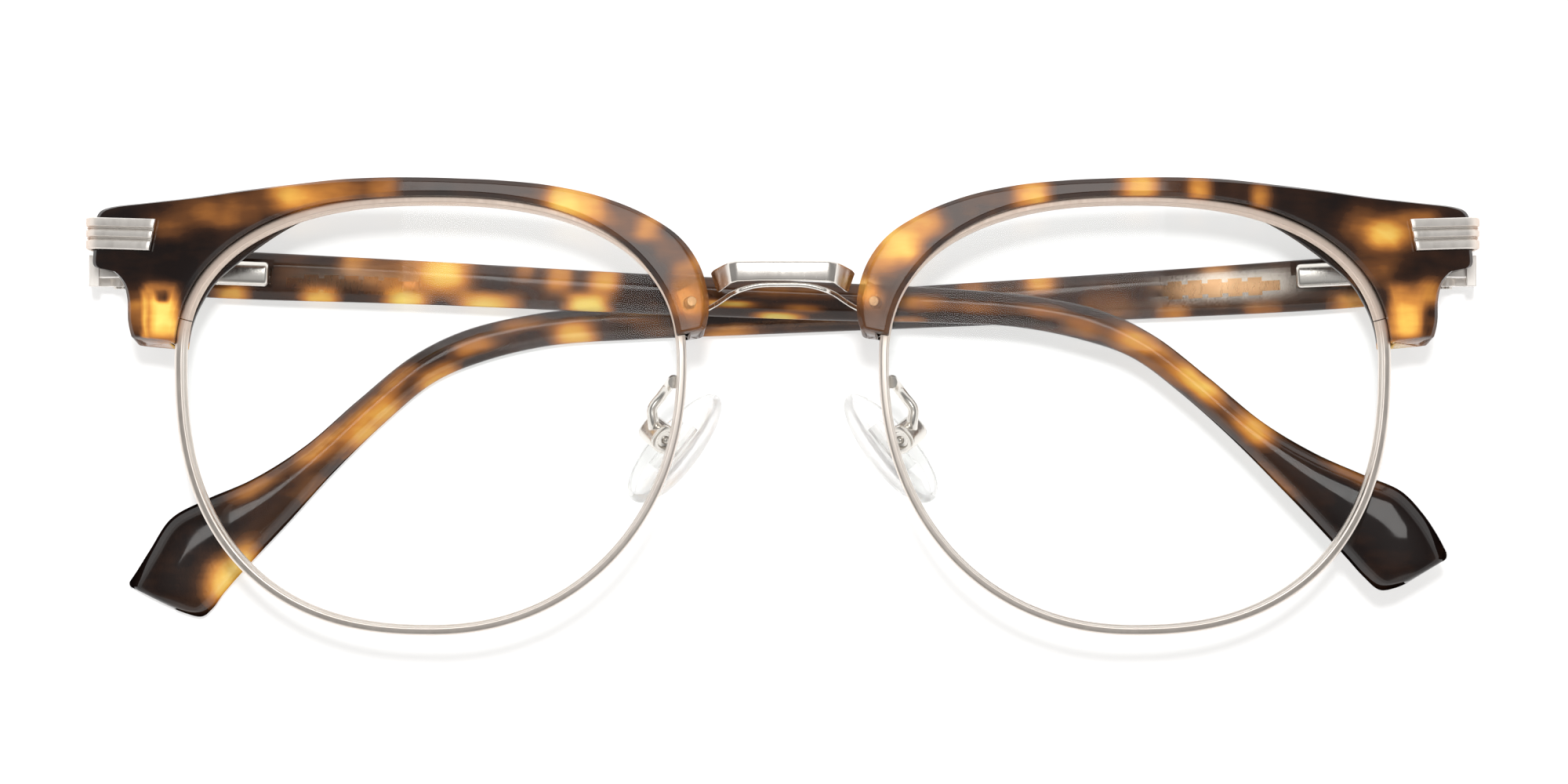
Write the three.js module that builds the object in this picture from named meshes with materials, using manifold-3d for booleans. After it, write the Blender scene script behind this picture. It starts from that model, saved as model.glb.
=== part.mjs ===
// Half rim eyeglasses, folded and lying on their back with the front facing up.
// Millimetres. +Z points out of the front, +Y towards the brow, +X towards the wearer's left side.
// Heights in the sections below are measured from the line through the two lens centres.

import * as THREE from 'three';
import { mergeVertices } from 'three/addons/utils/BufferGeometryUtils.js';
import Module from 'manifold-3d';

const wasm = await Module();
wasm.setup();

// ---------------------------------------------------------------- driving dimensions

const LENS_WIDTH = 51; // lens box width marked on such frames
const BRIDGE_WIDTH = 19; // gap between the two lens boxes
const LENS_CENTRE_X = (LENS_WIDTH + BRIDGE_WIDTH) / 2;
const LENS_LINE_Y = -0.92; // places the outline's middle on y = 0

const BASE_RADIUS = 130; // sphere that each half of the front is bent to
const WRAP = THREE.MathUtils.degToRad(5); // outward turn of each half of the front
const RIM_FRONT_Z = 20; // front face of the eyewire at the lens centre

const RIM = { halfWidth: 25.5, waistY: 5.2, rise: 16.8, fall: 27.05 };
// exponents of the four quarters of the eyewire outline
const RIM_POWER = { upperTemporal: 2.35, upperNasal: 2.4, lowerNasal: 2.12, lowerTemporal: 2.4 };
const WIRE_WIDTH = 0.85;
const WIRE_DEPTH = 1.9;
const RIM_STATIONS = 72;
const RIM_SPLIT_Y = 9.7; // height of the split that the rim screw closes

const BROW_FRONT = 1.0; // brow's front face, ahead of the wire
const BROW_BACK = -3.0; // brow's back face, behind the wire's front
const PLATE_GAP = 0.3; // between the brow's back and the plates behind it
const GAP = 0.3; // between pieces that touch

const HINGE_X = 66.2; // hinge screw, from the middle plane
const HINGE_Y = 14.3;
const HINGE_Z = 3.6;
const KNUCKLE_RADIUS = 1.35;
const KNUCKLE = { bottom: -1.4, lowerTop: -0.55, upperBottom: 1.25, top: 2.1 };
const SLIDER_HEIGHT = { bottom: -0.35, top: 1.05 };
const HINGE_MID = 0.35; // middle knuckle's centre above the hinge point
const SCREW_RADIUS = 0.6;

const TEMPLE_THICKNESS = { hinge: 3.6, middle: 2.9 };
const TEMPLE_ROLL = THREE.MathUtils.degToRad(0.4); // both temples lie slightly turned in the front's plane
const RIGHT_SLANT = THREE.MathUtils.degToRad(4.6); // right temple lies over the left one
const TEMPLE_DROP = THREE.MathUtils.degToRad(2.5); // slope of the temple's upper run
const TEMPLE_CHAMFER = 0.7;

const CASING = { start: 3.8, end: 15, halfHeight: 1.25, low: 2.1, high: 4.5 };
const CASING_BORE = { start: 5.1, end: 14.4, halfSize: 0.8, centre: 3.3 };
const ROD_RADIUS = 0.38;
const SPRING = { start: 6.5, end: 13.4, meanRadius: 0.57, wireRadius: 0.11, turns: 6 };

const PAD = { halfLength: 6.7, halfWidth: 3.8, thickness: 2.1 };
const PAD_CENTRE = new THREE.Vector3(11.05, -2.9, 12.3); // middle of the pad's back face
const PAD_SPLAY = THREE.MathUtils.degToRad(32);
const PAD_PIVOT = 1.7; // pad screw, behind the pad's back face

const SIDES = { right: -1, left: 1 };

// ---------------------------------------------------------------- materials

const metalLook = (color, roughness) => new THREE.MeshStandardMaterial({ color, roughness, metalness: 1 });
const plainLook = (color, roughness) => new THREE.MeshStandardMaterial({ color, roughness, metalness: 0 });
const MATERIALS = {
  silver: metalLook(0xd8d0c6, 0.2),
  screw: metalLook(0xb9b2a8, 0.35),
  spring: metalLook(0x8f9196, 0.35),
  core: metalLook(0xd9a878, 0.3),
  acetate: plainLook(0x4a2a18, 0.15),
  clear: new THREE.MeshStandardMaterial(
    { color: 0xf2f4f4, roughness: 0.05, transparent: true, opacity: 0.35 }),
  silicone: new THREE.MeshStandardMaterial(
    { color: 0xe9ebe8, roughness: 0.2, transparent: true, opacity: 0.55 }),
};

// ---------------------------------------------------------------- geometry helpers

const vec = (x, y, z) => new THREE.Vector3(x, y, z);

function positionsOnly(geometry) {
  const bare = new THREE.BufferGeometry();
  bare.setAttribute('position', geometry.getAttribute('position').clone());
  if (geometry.index) bare.setIndex(geometry.index.clone());
  return mergeVertices(bare, 1e-5);
}

function signedVolume(geometry) {
  const p = geometry.getAttribute('position');
  const index = geometry.index.array;
  const [a, b, c] = [vec(), vec(), vec()];
  let volume = 0;
  for (let i = 0; i < index.length; i += 3) {
    a.fromBufferAttribute(p, index[i]);
    b.fromBufferAttribute(p, index[i + 1]);
    c.fromBufferAttribute(p, index[i + 2]);
    volume += a.dot(b.cross(c)) / 6;
  }
  return volume;
}

// turns every face outwards
function facingOut(geometry) {
  if (signedVolume(geometry) < 0) {
    const index = geometry.index.array;
    for (let i = 0; i < index.length; i += 3) {
      [index[i + 1], index[i + 2]] = [index[i + 2], index[i + 1]];
    }
  }
  return geometry;
}

function fromArrays(points, index) {
  const geometry = new THREE.BufferGeometry();
  const numbers = points.flatMap((p) => [p.x, p.y, p.z]);
  geometry.setAttribute('position', new THREE.Float32BufferAttribute(numbers, 3));
  geometry.setIndex(index);
  return facingOut(geometry);
}

// quads between neighbouring rings of points; each ring has the same number of points
function bandFaces(ringCount, count, closed) {
  const index = [];
  const bands = closed ? ringCount : ringCount - 1;
  for (let i = 0; i < bands; i++) {
    const j = (i + 1) % ringCount;
    for (let k = 0; k < count; k++) {
      const m = (k + 1) % count;
      index.push(i * count + k, i * count + m, j * count + m);
      index.push(i * count + k, j * count + m, j * count + k);
    }
  }
  return index;
}

// a section carried through rings of points, ended by flat caps triangulated on the section's own outline
function loft(rings, outline) {
  const count = rings[0].length;
  const index = bandFaces(rings.length, count, false);
  const contour = outline.map(([x, y]) => new THREE.Vector2(x, y));
  const turn = Math.sign(THREE.ShapeUtils.area(contour));
  const last = (rings.length - 1) * count;
  for (const face of THREE.ShapeUtils.triangulateShape(contour, [])) {
    const same = Math.sign(THREE.ShapeUtils.area(face.map((n) => contour[n]))) === turn;
    const [a, b, c] = same ? face : [face[0], face[2], face[1]];
    index.push(a, c, b, last + a, last + b, last + c);
  }
  return fromArrays(rings.flat(), index);
}

// a surface of rings closed by a single point at each end
function closedByPoles(rings, startPole, endPole) {
  const count = rings[0].length;
  const index = bandFaces(rings.length, count, false);
  const total = rings.length * count;
  for (let k = 0; k < count; k++) {
    const m = (k + 1) % count;
    index.push(total, m, k);
    index.push(total + 1, total - count + k, total - count + m);
  }
  return fromArrays([...rings.flat(), startPole, endPole], index);
}

// a flat outline given depth along z, each vertex then moved by the given map
function plate(outline, low, high, place) {
  const shape = new THREE.Shape(outline.map(([x, y]) => new THREE.Vector2(x, y)));
  const raw = new THREE.ExtrudeGeometry(shape, { depth: high - low, bevelEnabled: false });
  const geometry = positionsOnly(raw.translate(0, 0, low));
  const p = geometry.getAttribute('position');
  for (let i = 0; i < p.count; i++) {
    const moved = place(p.getX(i), p.getY(i), p.getZ(i));
    p.setXYZ(i, moved.x, moved.y, moved.z);
  }
  return facingOut(geometry);
}

function box(low, high) {
  const size = high.clone().sub(low);
  return new THREE.BoxGeometry(Math.abs(size.x), Math.abs(size.y), Math.abs(size.z))
    .translate(...low.clone().add(high).multiplyScalar(0.5).toArray());
}

function rod(from, to, radius, sides = 16) {
  const along = to.clone().sub(from);
  const geometry = new THREE.CylinderGeometry(radius, radius, along.length(), sides);
  geometry.applyQuaternion(new THREE.Quaternion().setFromUnitVectors(vec(0, 1, 0), along.normalize()));
  return geometry.translate(...from.clone().add(to).multiplyScalar(0.5).toArray());
}

function tube(points, radius, sides, steps) {
  const section = new THREE.Shape();
  for (let k = 0; k < sides; k++) {
    const angle = (2 * Math.PI * k) / sides;
    const [x, y] = [radius * Math.cos(angle), radius * Math.sin(angle)];
    if (k === 0) section.moveTo(x, y);
    else section.lineTo(x, y);
  }
  const extrudePath = points instanceof THREE.Curve ? points : new THREE.CatmullRomCurve3(points);
  return new THREE.ExtrudeGeometry(section, { steps, bevelEnabled: false, extrudePath });
}

// ---------------------------------------------------------------- joining and cutting

function toSolid(geometry) {
  const merged = positionsOnly(geometry);
  return new wasm.Manifold(new wasm.Mesh({
    numProp: 3,
    vertProperties: new Float32Array(merged.getAttribute('position').array),
    triVerts: new Uint32Array(merged.index.array),
  }));
}

function toGeometry(solid) {
  const mesh = solid.getMesh();
  const geometry = new THREE.BufferGeometry();
  geometry.setAttribute('position', new THREE.Float32BufferAttribute(mesh.vertProperties, 3));
  geometry.setIndex([...mesh.triVerts]);
  return geometry;
}

const joined = (...geometries) =>
  toGeometry(geometries.map(toSolid).reduce((whole, next) => whole.add(next)));
const cut = (base, ...tools) =>
  toGeometry(tools.map(toSolid).reduce((whole, next) => whole.subtract(next), toSolid(base)));

// a slotted cheese head screw from the head's top face towards the tip
function screw(headTop, towards, { headRadius, headHeight, radius, length, sides = 14 }) {
  const under = headTop.clone().addScaledVector(towards, headHeight);
  const tip = headTop.clone().addScaledVector(towards, length);
  const overlap = headTop.clone().addScaledVector(towards, headHeight / 2);
  const blank = joined(rod(headTop, under, headRadius, sides), rod(overlap, tip, radius, sides));
  const slot = new THREE.BoxGeometry(headRadius * 2.4, headHeight, headRadius * 0.35);
  slot.applyQuaternion(new THREE.Quaternion().setFromUnitVectors(vec(0, 1, 0), towards));
  slot.translate(...headTop.toArray());
  return cut(blank, slot);
}

// ---------------------------------------------------------------- shape of the front

// Point of one half of the front: x from the lens centre towards the temple, y up, t forward of the
// wire's front face. t = 0 lies on the sphere that the half is bent to.
function frontPoint(side, x, y, t) {
  const centre = vec(-BASE_RADIUS * Math.sin(WRAP), 0, -BASE_RADIUS * Math.cos(WRAP));
  const reach = Math.sqrt(BASE_RADIUS ** 2 - (x - centre.x) ** 2 - y ** 2);
  const onSphere = vec(x, y, centre.z + reach);
  const normal = onSphere.clone().sub(centre).divideScalar(BASE_RADIUS);
  const p = onSphere.addScaledVector(normal, t);
  return vec(side * (LENS_CENTRE_X + p.x), p.y, RIM_FRONT_Z + p.z);
}

const onFront = (side) => (x, y, t) => frontPoint(side, x, y, t);

// point of the eyewire's outer outline seen at an angle from the middle of its widest line:
// a superellipse with its own exponent in each quarter
function rimPoint(angle) {
  const [c, s] = [Math.cos(angle), Math.sin(angle)];
  const height = s >= 0 ? RIM.rise : RIM.fall;
  const power = s >= 0
    ? (c >= 0 ? RIM_POWER.upperTemporal : RIM_POWER.upperNasal)
    : (c >= 0 ? RIM_POWER.lowerTemporal : RIM_POWER.lowerNasal);
  const reach = ((Math.abs(c) / RIM.halfWidth) ** power + (Math.abs(s) / height) ** power) ** (-1 / power);
  return new THREE.Vector2(reach * c, RIM.waistY + reach * s);
}

// the same point moved out along the outline's normal
function rimOffset(angle, offset) {
  const step = 1e-3;
  const along = rimPoint(angle + step).sub(rimPoint(angle - step)).normalize();
  return rimPoint(angle).add(new THREE.Vector2(along.y, -along.x).multiplyScalar(offset));
}

const splitAngle = Math.atan2(RIM_SPLIT_Y - RIM.waistY, 24.9);

// ---------------------------------------------------------------- pieces of the front

function eyewire(side) {
  // section: outwards from the outer outline, forward of the front face, with a V groove inside
  const section = [
    [0, 0], [-WIRE_WIDTH, 0], [-WIRE_WIDTH, -0.5], [-0.45, -WIRE_DEPTH / 2],
    [-WIRE_WIDTH, -1.4], [-WIRE_WIDTH, -WIRE_DEPTH], [0, -WIRE_DEPTH],
  ];
  const halfSplit = 0.008;
  const rings = [];
  for (let i = 0; i <= RIM_STATIONS; i++) {
    const angle = splitAngle + halfSplit + ((2 * Math.PI - 2 * halfSplit) * i) / RIM_STATIONS;
    rings.push(section.map(([out, forward]) => {
      const p = rimOffset(angle, out);
      return frontPoint(side, p.x, p.y, forward);
    }));
  }
  return loft(rings, section);
}

function lens(side) {
  // from the middle of the front, over the bevelled edge, to the middle of the back
  const edge = [[-1.05, -0.35], [-0.68, -WIRE_DEPTH / 2], [-1.05, -1.55]];
  const ring = (shrink, out, forward) => {
    const points = [];
    for (let i = 0; i < RIM_STATIONS; i++) {
      const p = rimOffset((2 * Math.PI * i) / RIM_STATIONS, out).multiplyScalar(shrink);
      points.push(frontPoint(side, p.x, p.y, forward));
    }
    return points;
  };
  const rings = [
    ring(0.5, edge[0][0], edge[0][1]),
    ...edge.map(([out, forward]) => ring(1, out, forward)),
    ring(0.5, edge[2][0], edge[2][1]),
  ];
  return closedByPoles(rings, frontPoint(side, 0, 0, edge[0][1]), frontPoint(side, 0, 0, edge[2][1]));
}

// The closing blocks sit in a pocket of the brow, outside the eyewire.
const BLOCK = { x: [25.35, 26.5], back: -2.95, front: -1.5, height: 0.9, gap: 0.4 };

// Ribs of the brow: angle on the eyewire (degrees) and the matching point of the outer edge.
const BROW_RIBS = [
  [174.5, -27.3, 7.9], [171, -27.6, 9.8], [166, -27.5, 12.2], [160, -26.6, 15.1], [153, -24.6, 17.8],
  [145, -21.2, 20.0], [136, -16.9, 21.7], [125, -11.9, 22.8], [113, -7.0, 23.3], [100, -2.8, 23.5],
  [88, 0.9, 23.6], [76, 4.6, 23.6], [65, 9.0, 23.4], [56, 13.6, 22.9], [48, 18.6, 22.3],
  [41, 23.6, 21.6], [35, 28.2, 21.1], [30, 31.6, 20.7], [27, 32.8, 20.2], [25, 33.2, 19.3],
  [21, 33.4, 16.5], [18, 33.3, 14.8], [15.5, 31.7, 14.5], [13, 30.5, 13.3], [10.5, 30.0, 11.6],
  [7.5, 29.95, 9.4], [5.5, 29.8, 8.2], [3.4, 29.6, 7.1],
];
const OUTER_SCREW = [26.6, 11.8];
const INNER_SCREW = [-26.1, 11.5];
const BROW_SCREW = { headRadius: 1.0, headHeight: 0.6, radius: 0.5, length: 3.6 };

// The brow reaches round behind the eyewire with a lip that is widest at the outer corner.
const LIP = { front: -WIRE_DEPTH - GAP, least: 0.6, corner: 1.1, cornerAngle: 33, spread: 16 };
const lipReach = (degrees) =>
  LIP.least + LIP.corner * Math.exp(-(((degrees - LIP.cornerAngle) / LIP.spread) ** 2));

function brow(side) {
  const chamfer = 0.5;
  const rings = BROW_RIBS.map(([degrees, x, y]) => {
    const inner = rimOffset(THREE.MathUtils.degToRad(degrees), GAP);
    const outer = new THREE.Vector2(x, y);
    const width = inner.distanceTo(outer);
    const lip = -GAP - lipReach(degrees);
    const at = (v, t) => {
      const p = inner.clone().lerp(outer, v / width);
      return frontPoint(side, p.x, p.y, t);
    };
    return [
      at(lip, BROW_BACK), at(lip, LIP.front), at(0, LIP.front), at(0, BROW_FRONT - chamfer),
      at(chamfer, BROW_FRONT), at(width - chamfer, BROW_FRONT), at(width, BROW_FRONT - chamfer),
      at(width, BROW_BACK + chamfer), at(width - chamfer, BROW_BACK),
    ];
  });
  const outline = [[-1, 0], [-1, 0.8], [0, 0.8], [0, 3.5], [0.5, 4], [2, 4], [2.5, 3.5], [2.5, 0.5], [2, 0]];
  const holes = [OUTER_SCREW, INNER_SCREW].map(([x, y]) =>
    rod(frontPoint(side, x, y, BROW_BACK - 1), frontPoint(side, x, y, -0.6), BROW_SCREW.radius + 0.12, 12));
  const [left, right] = [BLOCK.x[0] - 0.7, BLOCK.x[1] + GAP];
  const top = RIM_SPLIT_Y + BLOCK.gap / 2 + BLOCK.height + GAP;
  const opening = [[left, 6], [right, 6], [right, top], [left, top]];
  const pocket = plate(opening, BROW_BACK - 0.5, BLOCK.front + GAP, onFront(side));
  return cut(loft(rings, outline), pocket, ...holes);
}

const PLATE_FRONT = BROW_BACK - PLATE_GAP;
const PLATE_BACK = PLATE_FRONT - 0.75;

function browScrew(side, [x, y]) {
  const headTop = frontPoint(side, x, y, PLATE_BACK - BROW_SCREW.headHeight - 0.05);
  const towards = frontPoint(side, x, y, 0).sub(headTop).normalize();
  return screw(headTop, towards, BROW_SCREW);
}

const screwHole = (side, [x, y]) =>
  rod(frontPoint(side, x, y, PLATE_BACK - 1), frontPoint(side, x, y, PLATE_FRONT + 1),
    BROW_SCREW.radius + 0.15, 12);

function bridgeLug(side) {
  const outline = [[-24.2, 12.3], [-27.0, 13.8], [-27.5, 12.0], [-27.4, 8.8], [-24.6, 8.6]];
  return cut(plate(outline, PLATE_BACK, PLATE_FRONT, onFront(side)), screwHole(side, INNER_SCREW));
}

const RIM_SCREW = { headRadius: 0.42, headHeight: 0.35, radius: 0.22, length: 2.45, sides: 12 };
const rimScrewPoint = (side, y) =>
  frontPoint(side, (BLOCK.x[0] + BLOCK.x[1]) / 2, y, (BLOCK.back + BLOCK.front) / 2);

function closingBlock(side, level) {
  const near = RIM_SPLIT_Y + (level * BLOCK.gap) / 2;
  const far = near + level * BLOCK.height;
  const [left, right] = BLOCK.x;
  const outline = [[left, near], [right, near], [right, far], [left, far]];
  const body = plate(outline, BLOCK.back, BLOCK.front, onFront(side));
  const [below, above] = [RIM_SPLIT_Y - 3, RIM_SPLIT_Y + 3].map((y) => rimScrewPoint(side, y));
  const hole = rod(below, above, RIM_SCREW.radius + 0.08, 12);
  return cut(body, hole);
}

function rimScrew(side) {
  const headTop = rimScrewPoint(
    side, RIM_SPLIT_Y - BLOCK.gap / 2 - BLOCK.height - RIM_SCREW.headHeight - 0.05);
  const towards = rimScrewPoint(side, RIM_SPLIT_Y + 3).sub(headTop).normalize();
  return screw(headTop, towards, RIM_SCREW);
}

// ---------------------------------------------------------------- bridge

const BRIDGE = { front: 21.4, curve: 0.03, barDepth: 1.5, archDepth: 2.2, archEndDepth: 0.8, archFall: 3.6 };
const bridgePlace = (x, y, z) => vec(x, y, BRIDGE.front - BRIDGE.curve * x * x + z);

function bridgeBar() {
  const half = [[4.2, 13.45], [5.2, 13.2], [6.1, 12.3], [7.0, 14.3], [5.9, 15.1], [4.8, 15.4], [2.4, 15.4]];
  const middle = [[0, 15.4]];
  const mirrored = half.map(([x, y]) => [-x, y]).reverse();
  return plate([[0, 13.6], [2.2, 13.55], ...half, ...middle, ...mirrored, [-2.2, 13.55]],
    -BRIDGE.barDepth, 0, bridgePlace);
}

// Half of the thin strip under the bar: distance from the middle and height of its upper face
const ARCH_PATH = [[0, 13.15], [2.4, 13.05], [4.4, 12.7], [5.4, 12.2], [6.1, 11.7], [6.8, 11.2], [7.6, 10.8]];

function bridgeArch() {
  const thickness = 0.45;
  const stations = [...ARCH_PATH.slice(1).reverse().map(([x, y]) => [-x, y]), ...ARCH_PATH];
  const rings = stations.map(([x, y]) => {
    // the ends run back to the lugs behind the brows, and grow slimmer
    const back = THREE.MathUtils.smoothstep(Math.abs(x), 4.2, 7.4);
    const front = -0.35 - BRIDGE.archFall * back;
    const depth = BRIDGE.archDepth + (BRIDGE.archEndDepth - BRIDGE.archDepth) * back;
    return [
      bridgePlace(x, y, front), bridgePlace(x, y, front - depth),
      bridgePlace(x, y - thickness, front - depth), bridgePlace(x, y - thickness, front),
    ];
  });
  return loft(rings, [[0, 1], [0, 0], [1, 0], [1, 1]]);
}

// ---------------------------------------------------------------- corner of the front

function cornerClasp(side) {
  // L-shaped band over the corner's front and side: thin web with three ribs on it
  const band = (low, high, skin) => {
    const profile = [
      [26.9, BROW_FRONT + GAP], [33.2, BROW_FRONT + GAP], [33.6, BROW_FRONT - 0.2], [33.6, -2.9],
      [33.6 + skin, -2.9], [33.6 + skin, BROW_FRONT], [33.2 + skin * 0.7, BROW_FRONT + GAP + skin],
      [26.9, BROW_FRONT + GAP + skin],
    ];
    return plate(profile, low, high, (x, t, y) =>
      frontPoint(side, x < 28 ? x + 0.2 * (19.5 - y) - 0.2 : x, y, t));
  };
  const web = 0.25;
  const rib = 0.42;
  return joined(band(16.5, 19.5, web), band(16.5, 17.35, rib), band(17.6, 18.4, rib), band(18.65, 19.5, rib));
}

const LEG = { inner: 1.9, outer: 2.9, bottom: -3.2, top: 4.9 };

function endpiece(side) {
  // plate behind the brow, leg running back to the hinge, and the two outer knuckles
  const outline = [
    [25.3, 7.4], [28.3, 7.2], [28.6, 12.6], [30.2, 14.2], [35.1, 14.2], [35.1, 16.2], [29.6, 16.4],
    [26.6, 14.2], [25.2, 13.2],
  ];
  const backPlate = plate(outline, PLATE_BACK, PLATE_FRONT, onFront(side));
  const hingeAt = (x, y, z) => vec(side * (HINGE_X + x), HINGE_Y + y, HINGE_Z + z);
  const leg = box(hingeAt(LEG.inner, KNUCKLE.bottom, LEG.bottom), hingeAt(LEG.outer, 1.7, LEG.top));
  const levels = [[KNUCKLE.bottom, KNUCKLE.lowerTop], [KNUCKLE.upperBottom, KNUCKLE.top]];
  const knuckles = levels.flatMap(([low, high]) => [
    rod(hingeAt(0, low, 0), hingeAt(0, high, 0), KNUCKLE_RADIUS, 20),
    box(hingeAt(0.2, low, -1), hingeAt(LEG.inner + 0.3, Math.min(high, 1.7), 1)),
  ]);
  const hingeHole = rod(hingeAt(0, -4, 0), hingeAt(0, 4, 0), SCREW_RADIUS + 0.12, 16);
  return cut(joined(leg, backPlate, ...knuckles), hingeHole, screwHole(side, OUTER_SCREW));
}

function hingeScrew(side) {
  const headTop = vec(side * HINGE_X, HINGE_Y + KNUCKLE.top + 0.65, HINGE_Z);
  const size = { headRadius: 1.05, headHeight: 0.55, radius: SCREW_RADIUS, length: 4.4 };
  return screw(headTop, vec(0, -1, 0), size);
}

// ---------------------------------------------------------------- temple and spring hinge

// Local frame of a temple: l from the hinge screw towards the tip, h up, w from the outer face inwards.
const templePoint = (side, l, h, w) => vec(-side * l, h, w - HINGE_Z);

// Rib stations along each temple: upper edge (l, h), lower edge (l, h)
const TEMPLE_RIBS = {
  right: [
    [3.6, 2.5, 3.6, -2.25], [12.5, 2.0, 12.2, -2.75], [30, 0.95, 29.7, -3.4], [55, -0.65, 54.7, -4.6],
    [70, -1.45, 69.8, -5.25], [82, -2.15, 81.4, -5.6], [91, -3.0, 89.6, -6.1], [98, -4.5, 96, -7.4],
    [103.2, -7.0, 101, -9.2], [108.6, -11.2, 105.9, -12.8], [114, -15.7, 111.2, -17.6],
    [119.3, -18.9, 115.8, -22.3], [124.2, -21.1, 119.6, -26.3], [127.8, -22.7, 122.3, -29.3],
    [129.9, -24.9, 124.0, -31.2], [131.3, -27.0, 125.6, -32.5], [132.5, -29.3, 127.6, -32.2],
  ],
  left: [
    [3.6, 2.1, 3.6, -3.0], [12.5, 1.5, 12.2, -3.65], [30, 0.35, 29.7, -4.4], [55, -1.1, 54.7, -5.25],
    [70, -1.85, 69.8, -5.75], [82, -2.6, 81.4, -6.15], [91, -3.5, 89.6, -6.7], [98, -5.1, 96, -8.15],
    [103.2, -7.6, 101, -10.2], [108.6, -11.9, 105.9, -14.1], [114, -16.5, 111.2, -19.2],
    [119.3, -19.8, 115.8, -24.2], [124.2, -21.9, 119.6, -28.2], [127.6, -23.8, 122.2, -31.1],
    [129.6, -26.8, 123.4, -32.7], [131.0, -29.0, 124.6, -33.5], [131.9, -30.3, 126.6, -33.0],
  ],
};
const ribsOf = (side) => (side < 0 ? TEMPLE_RIBS.right : TEMPLE_RIBS.left);
const templeThickness = (l) =>
  THREE.MathUtils.lerp(
    TEMPLE_THICKNESS.hinge, TEMPLE_THICKNESS.middle, THREE.MathUtils.smoothstep(l, 16, 55));

// section of the temple or of a slimmer body inside it, between two points of a rib
function ribSection(side, [ul, uh, ll, lh], chamfer) {
  const height = Math.hypot(ul - ll, uh - lh);
  const thickness = templeThickness((ul + ll) / 2);
  const at = (v, w) => templePoint(side, ll + ((ul - ll) * v) / height, lh + ((uh - lh) * v) / height, w);
  return [
    at(0, chamfer), at(0, thickness - chamfer), at(chamfer, thickness), at(height - chamfer, thickness),
    at(height, thickness - chamfer), at(height, chamfer), at(height - chamfer, 0), at(chamfer, 0),
  ];
}

// Box-shaped core along the middle of the temple, from one rib station to another
function coreBody(side, halfHeight, halfThickness, first, last) {
  const middles = ribsOf(side).slice(first, last + 1).map(([ul, uh, ll, lh]) => {
    const across = new THREE.Vector2(ul - ll, uh - lh).normalize();
    return { l: (ul + ll) / 2, h: (uh + lh) / 2, across };
  });
  const rings = middles.map(({ l, h, across }) => {
    const centre = templeThickness(l) / 2;
    const at = (v, w) => templePoint(side, l + across.x * v, h + across.y * v, centre + w);
    return [
      at(-halfHeight, -halfThickness), at(-halfHeight, halfThickness),
      at(halfHeight, halfThickness), at(halfHeight, -halfThickness),
    ];
  });
  return loft(rings, [[0, 0], [0, 1], [1, 1], [1, 0]]);
}

// placed along the sloping centre line of the hinge end: l along it, v across it
function slopedPoint(side, l, v, w) {
  const [c, s] = [Math.cos(TEMPLE_DROP), Math.sin(TEMPLE_DROP)];
  return templePoint(side, l * c + v * s, HINGE_MID - l * s + v * c, w);
}
const onSlope = (side) => (l, v, w) => slopedPoint(side, l, v, w);
const slopedBox = (side, l0, l1, v0, v1, w0, w1) =>
  plate([[l0, v0], [l1, v0], [l1, v1], [l0, v1]], w0, w1, onSlope(side));

const ANCHOR = { start: 18.4, end: 28.4, shift: -0.75, halfHeight: 0.9, notch: 0.35, thickness: 0.8 };
const CORE_CENTRE = TEMPLE_THICKNESS.hinge / 2 - 0.15;

function temple(side) {
  const outline = ribSection(1, [0, 4, 0, 0], TEMPLE_CHAMFER).map((p) => [p.y, p.z]);
  const body = loft(ribsOf(side).map((rib) => ribSection(side, rib, TEMPLE_CHAMFER)), outline);
  const { start, end, shift, halfHeight } = ANCHOR;
  return cut(
    body,
    slopedBox(side, 0, CASING.end + GAP, -CASING.halfHeight - GAP, CASING.halfHeight + GAP,
      CASING.low - GAP, 6),
    slopedBox(side, 14.6, start + 0.4, shift - 0.8, shift + 0.8, CORE_CENTRE - 0.7, CORE_CENTRE + 0.7),
    slopedBox(side, start - 0.3, end + 0.3, shift - halfHeight - 0.25, shift + halfHeight + 0.25,
      CORE_CENTRE - 0.7, CORE_CENTRE + 0.7),
    slopedBox(side, end, 32, shift - 0.8, shift + 0.8, CORE_CENTRE - 0.7, CORE_CENTRE + 0.7),
    coreBody(side, 0.85, 0.65, 2, 13),
  );
}

function coreWire(side) {
  // neck, notched anchor and the long core that follows the temple's middle
  const { start, end, shift, halfHeight, notch, thickness } = ANCHOR;
  const teeth = 5;
  const pitch = (end - start) / teeth;
  const edge = [];
  for (let i = 0; i < teeth; i++) {
    const l = start + i * pitch;
    edge.push([l, halfHeight], [l + pitch * 0.7, halfHeight], [l + pitch * 0.7, halfHeight - notch]);
    edge.push([l + pitch, halfHeight - notch]);
  }
  const outline = [...edge, ...edge.map(([l, v]) => [l, -v]).reverse()].map(([l, v]) => [l, v + shift]);
  const [low, high] = [CORE_CENTRE - thickness / 2, CORE_CENTRE + thickness / 2];
  return joined(
    plate(outline, low, high, onSlope(side)),
    slopedBox(side, 16.6, start + 0.2, shift - 0.5, shift + 0.5, low, high),
    coreBody(side, 0.6, 0.4, 2, 12),
    slopedBox(side, end - 0.4, 31, shift - 0.55, shift + 0.55, low + 0.05, high - 0.05),
  );
}

function hingeCasing(side) {
  const { start, end, halfHeight, low, high } = CASING;
  const bore = CASING_BORE;
  const mouth = 0.5;
  const channel = (from, to, half) =>
    slopedBox(side, from, to, -half, half, bore.centre - half, bore.centre + half);
  return cut(
    slopedBox(side, start, end, -halfHeight, halfHeight, low, high),
    channel(bore.start, bore.end, bore.halfSize),
    channel(start - 1, bore.start + 0.2, mouth),
  );
}

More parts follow.
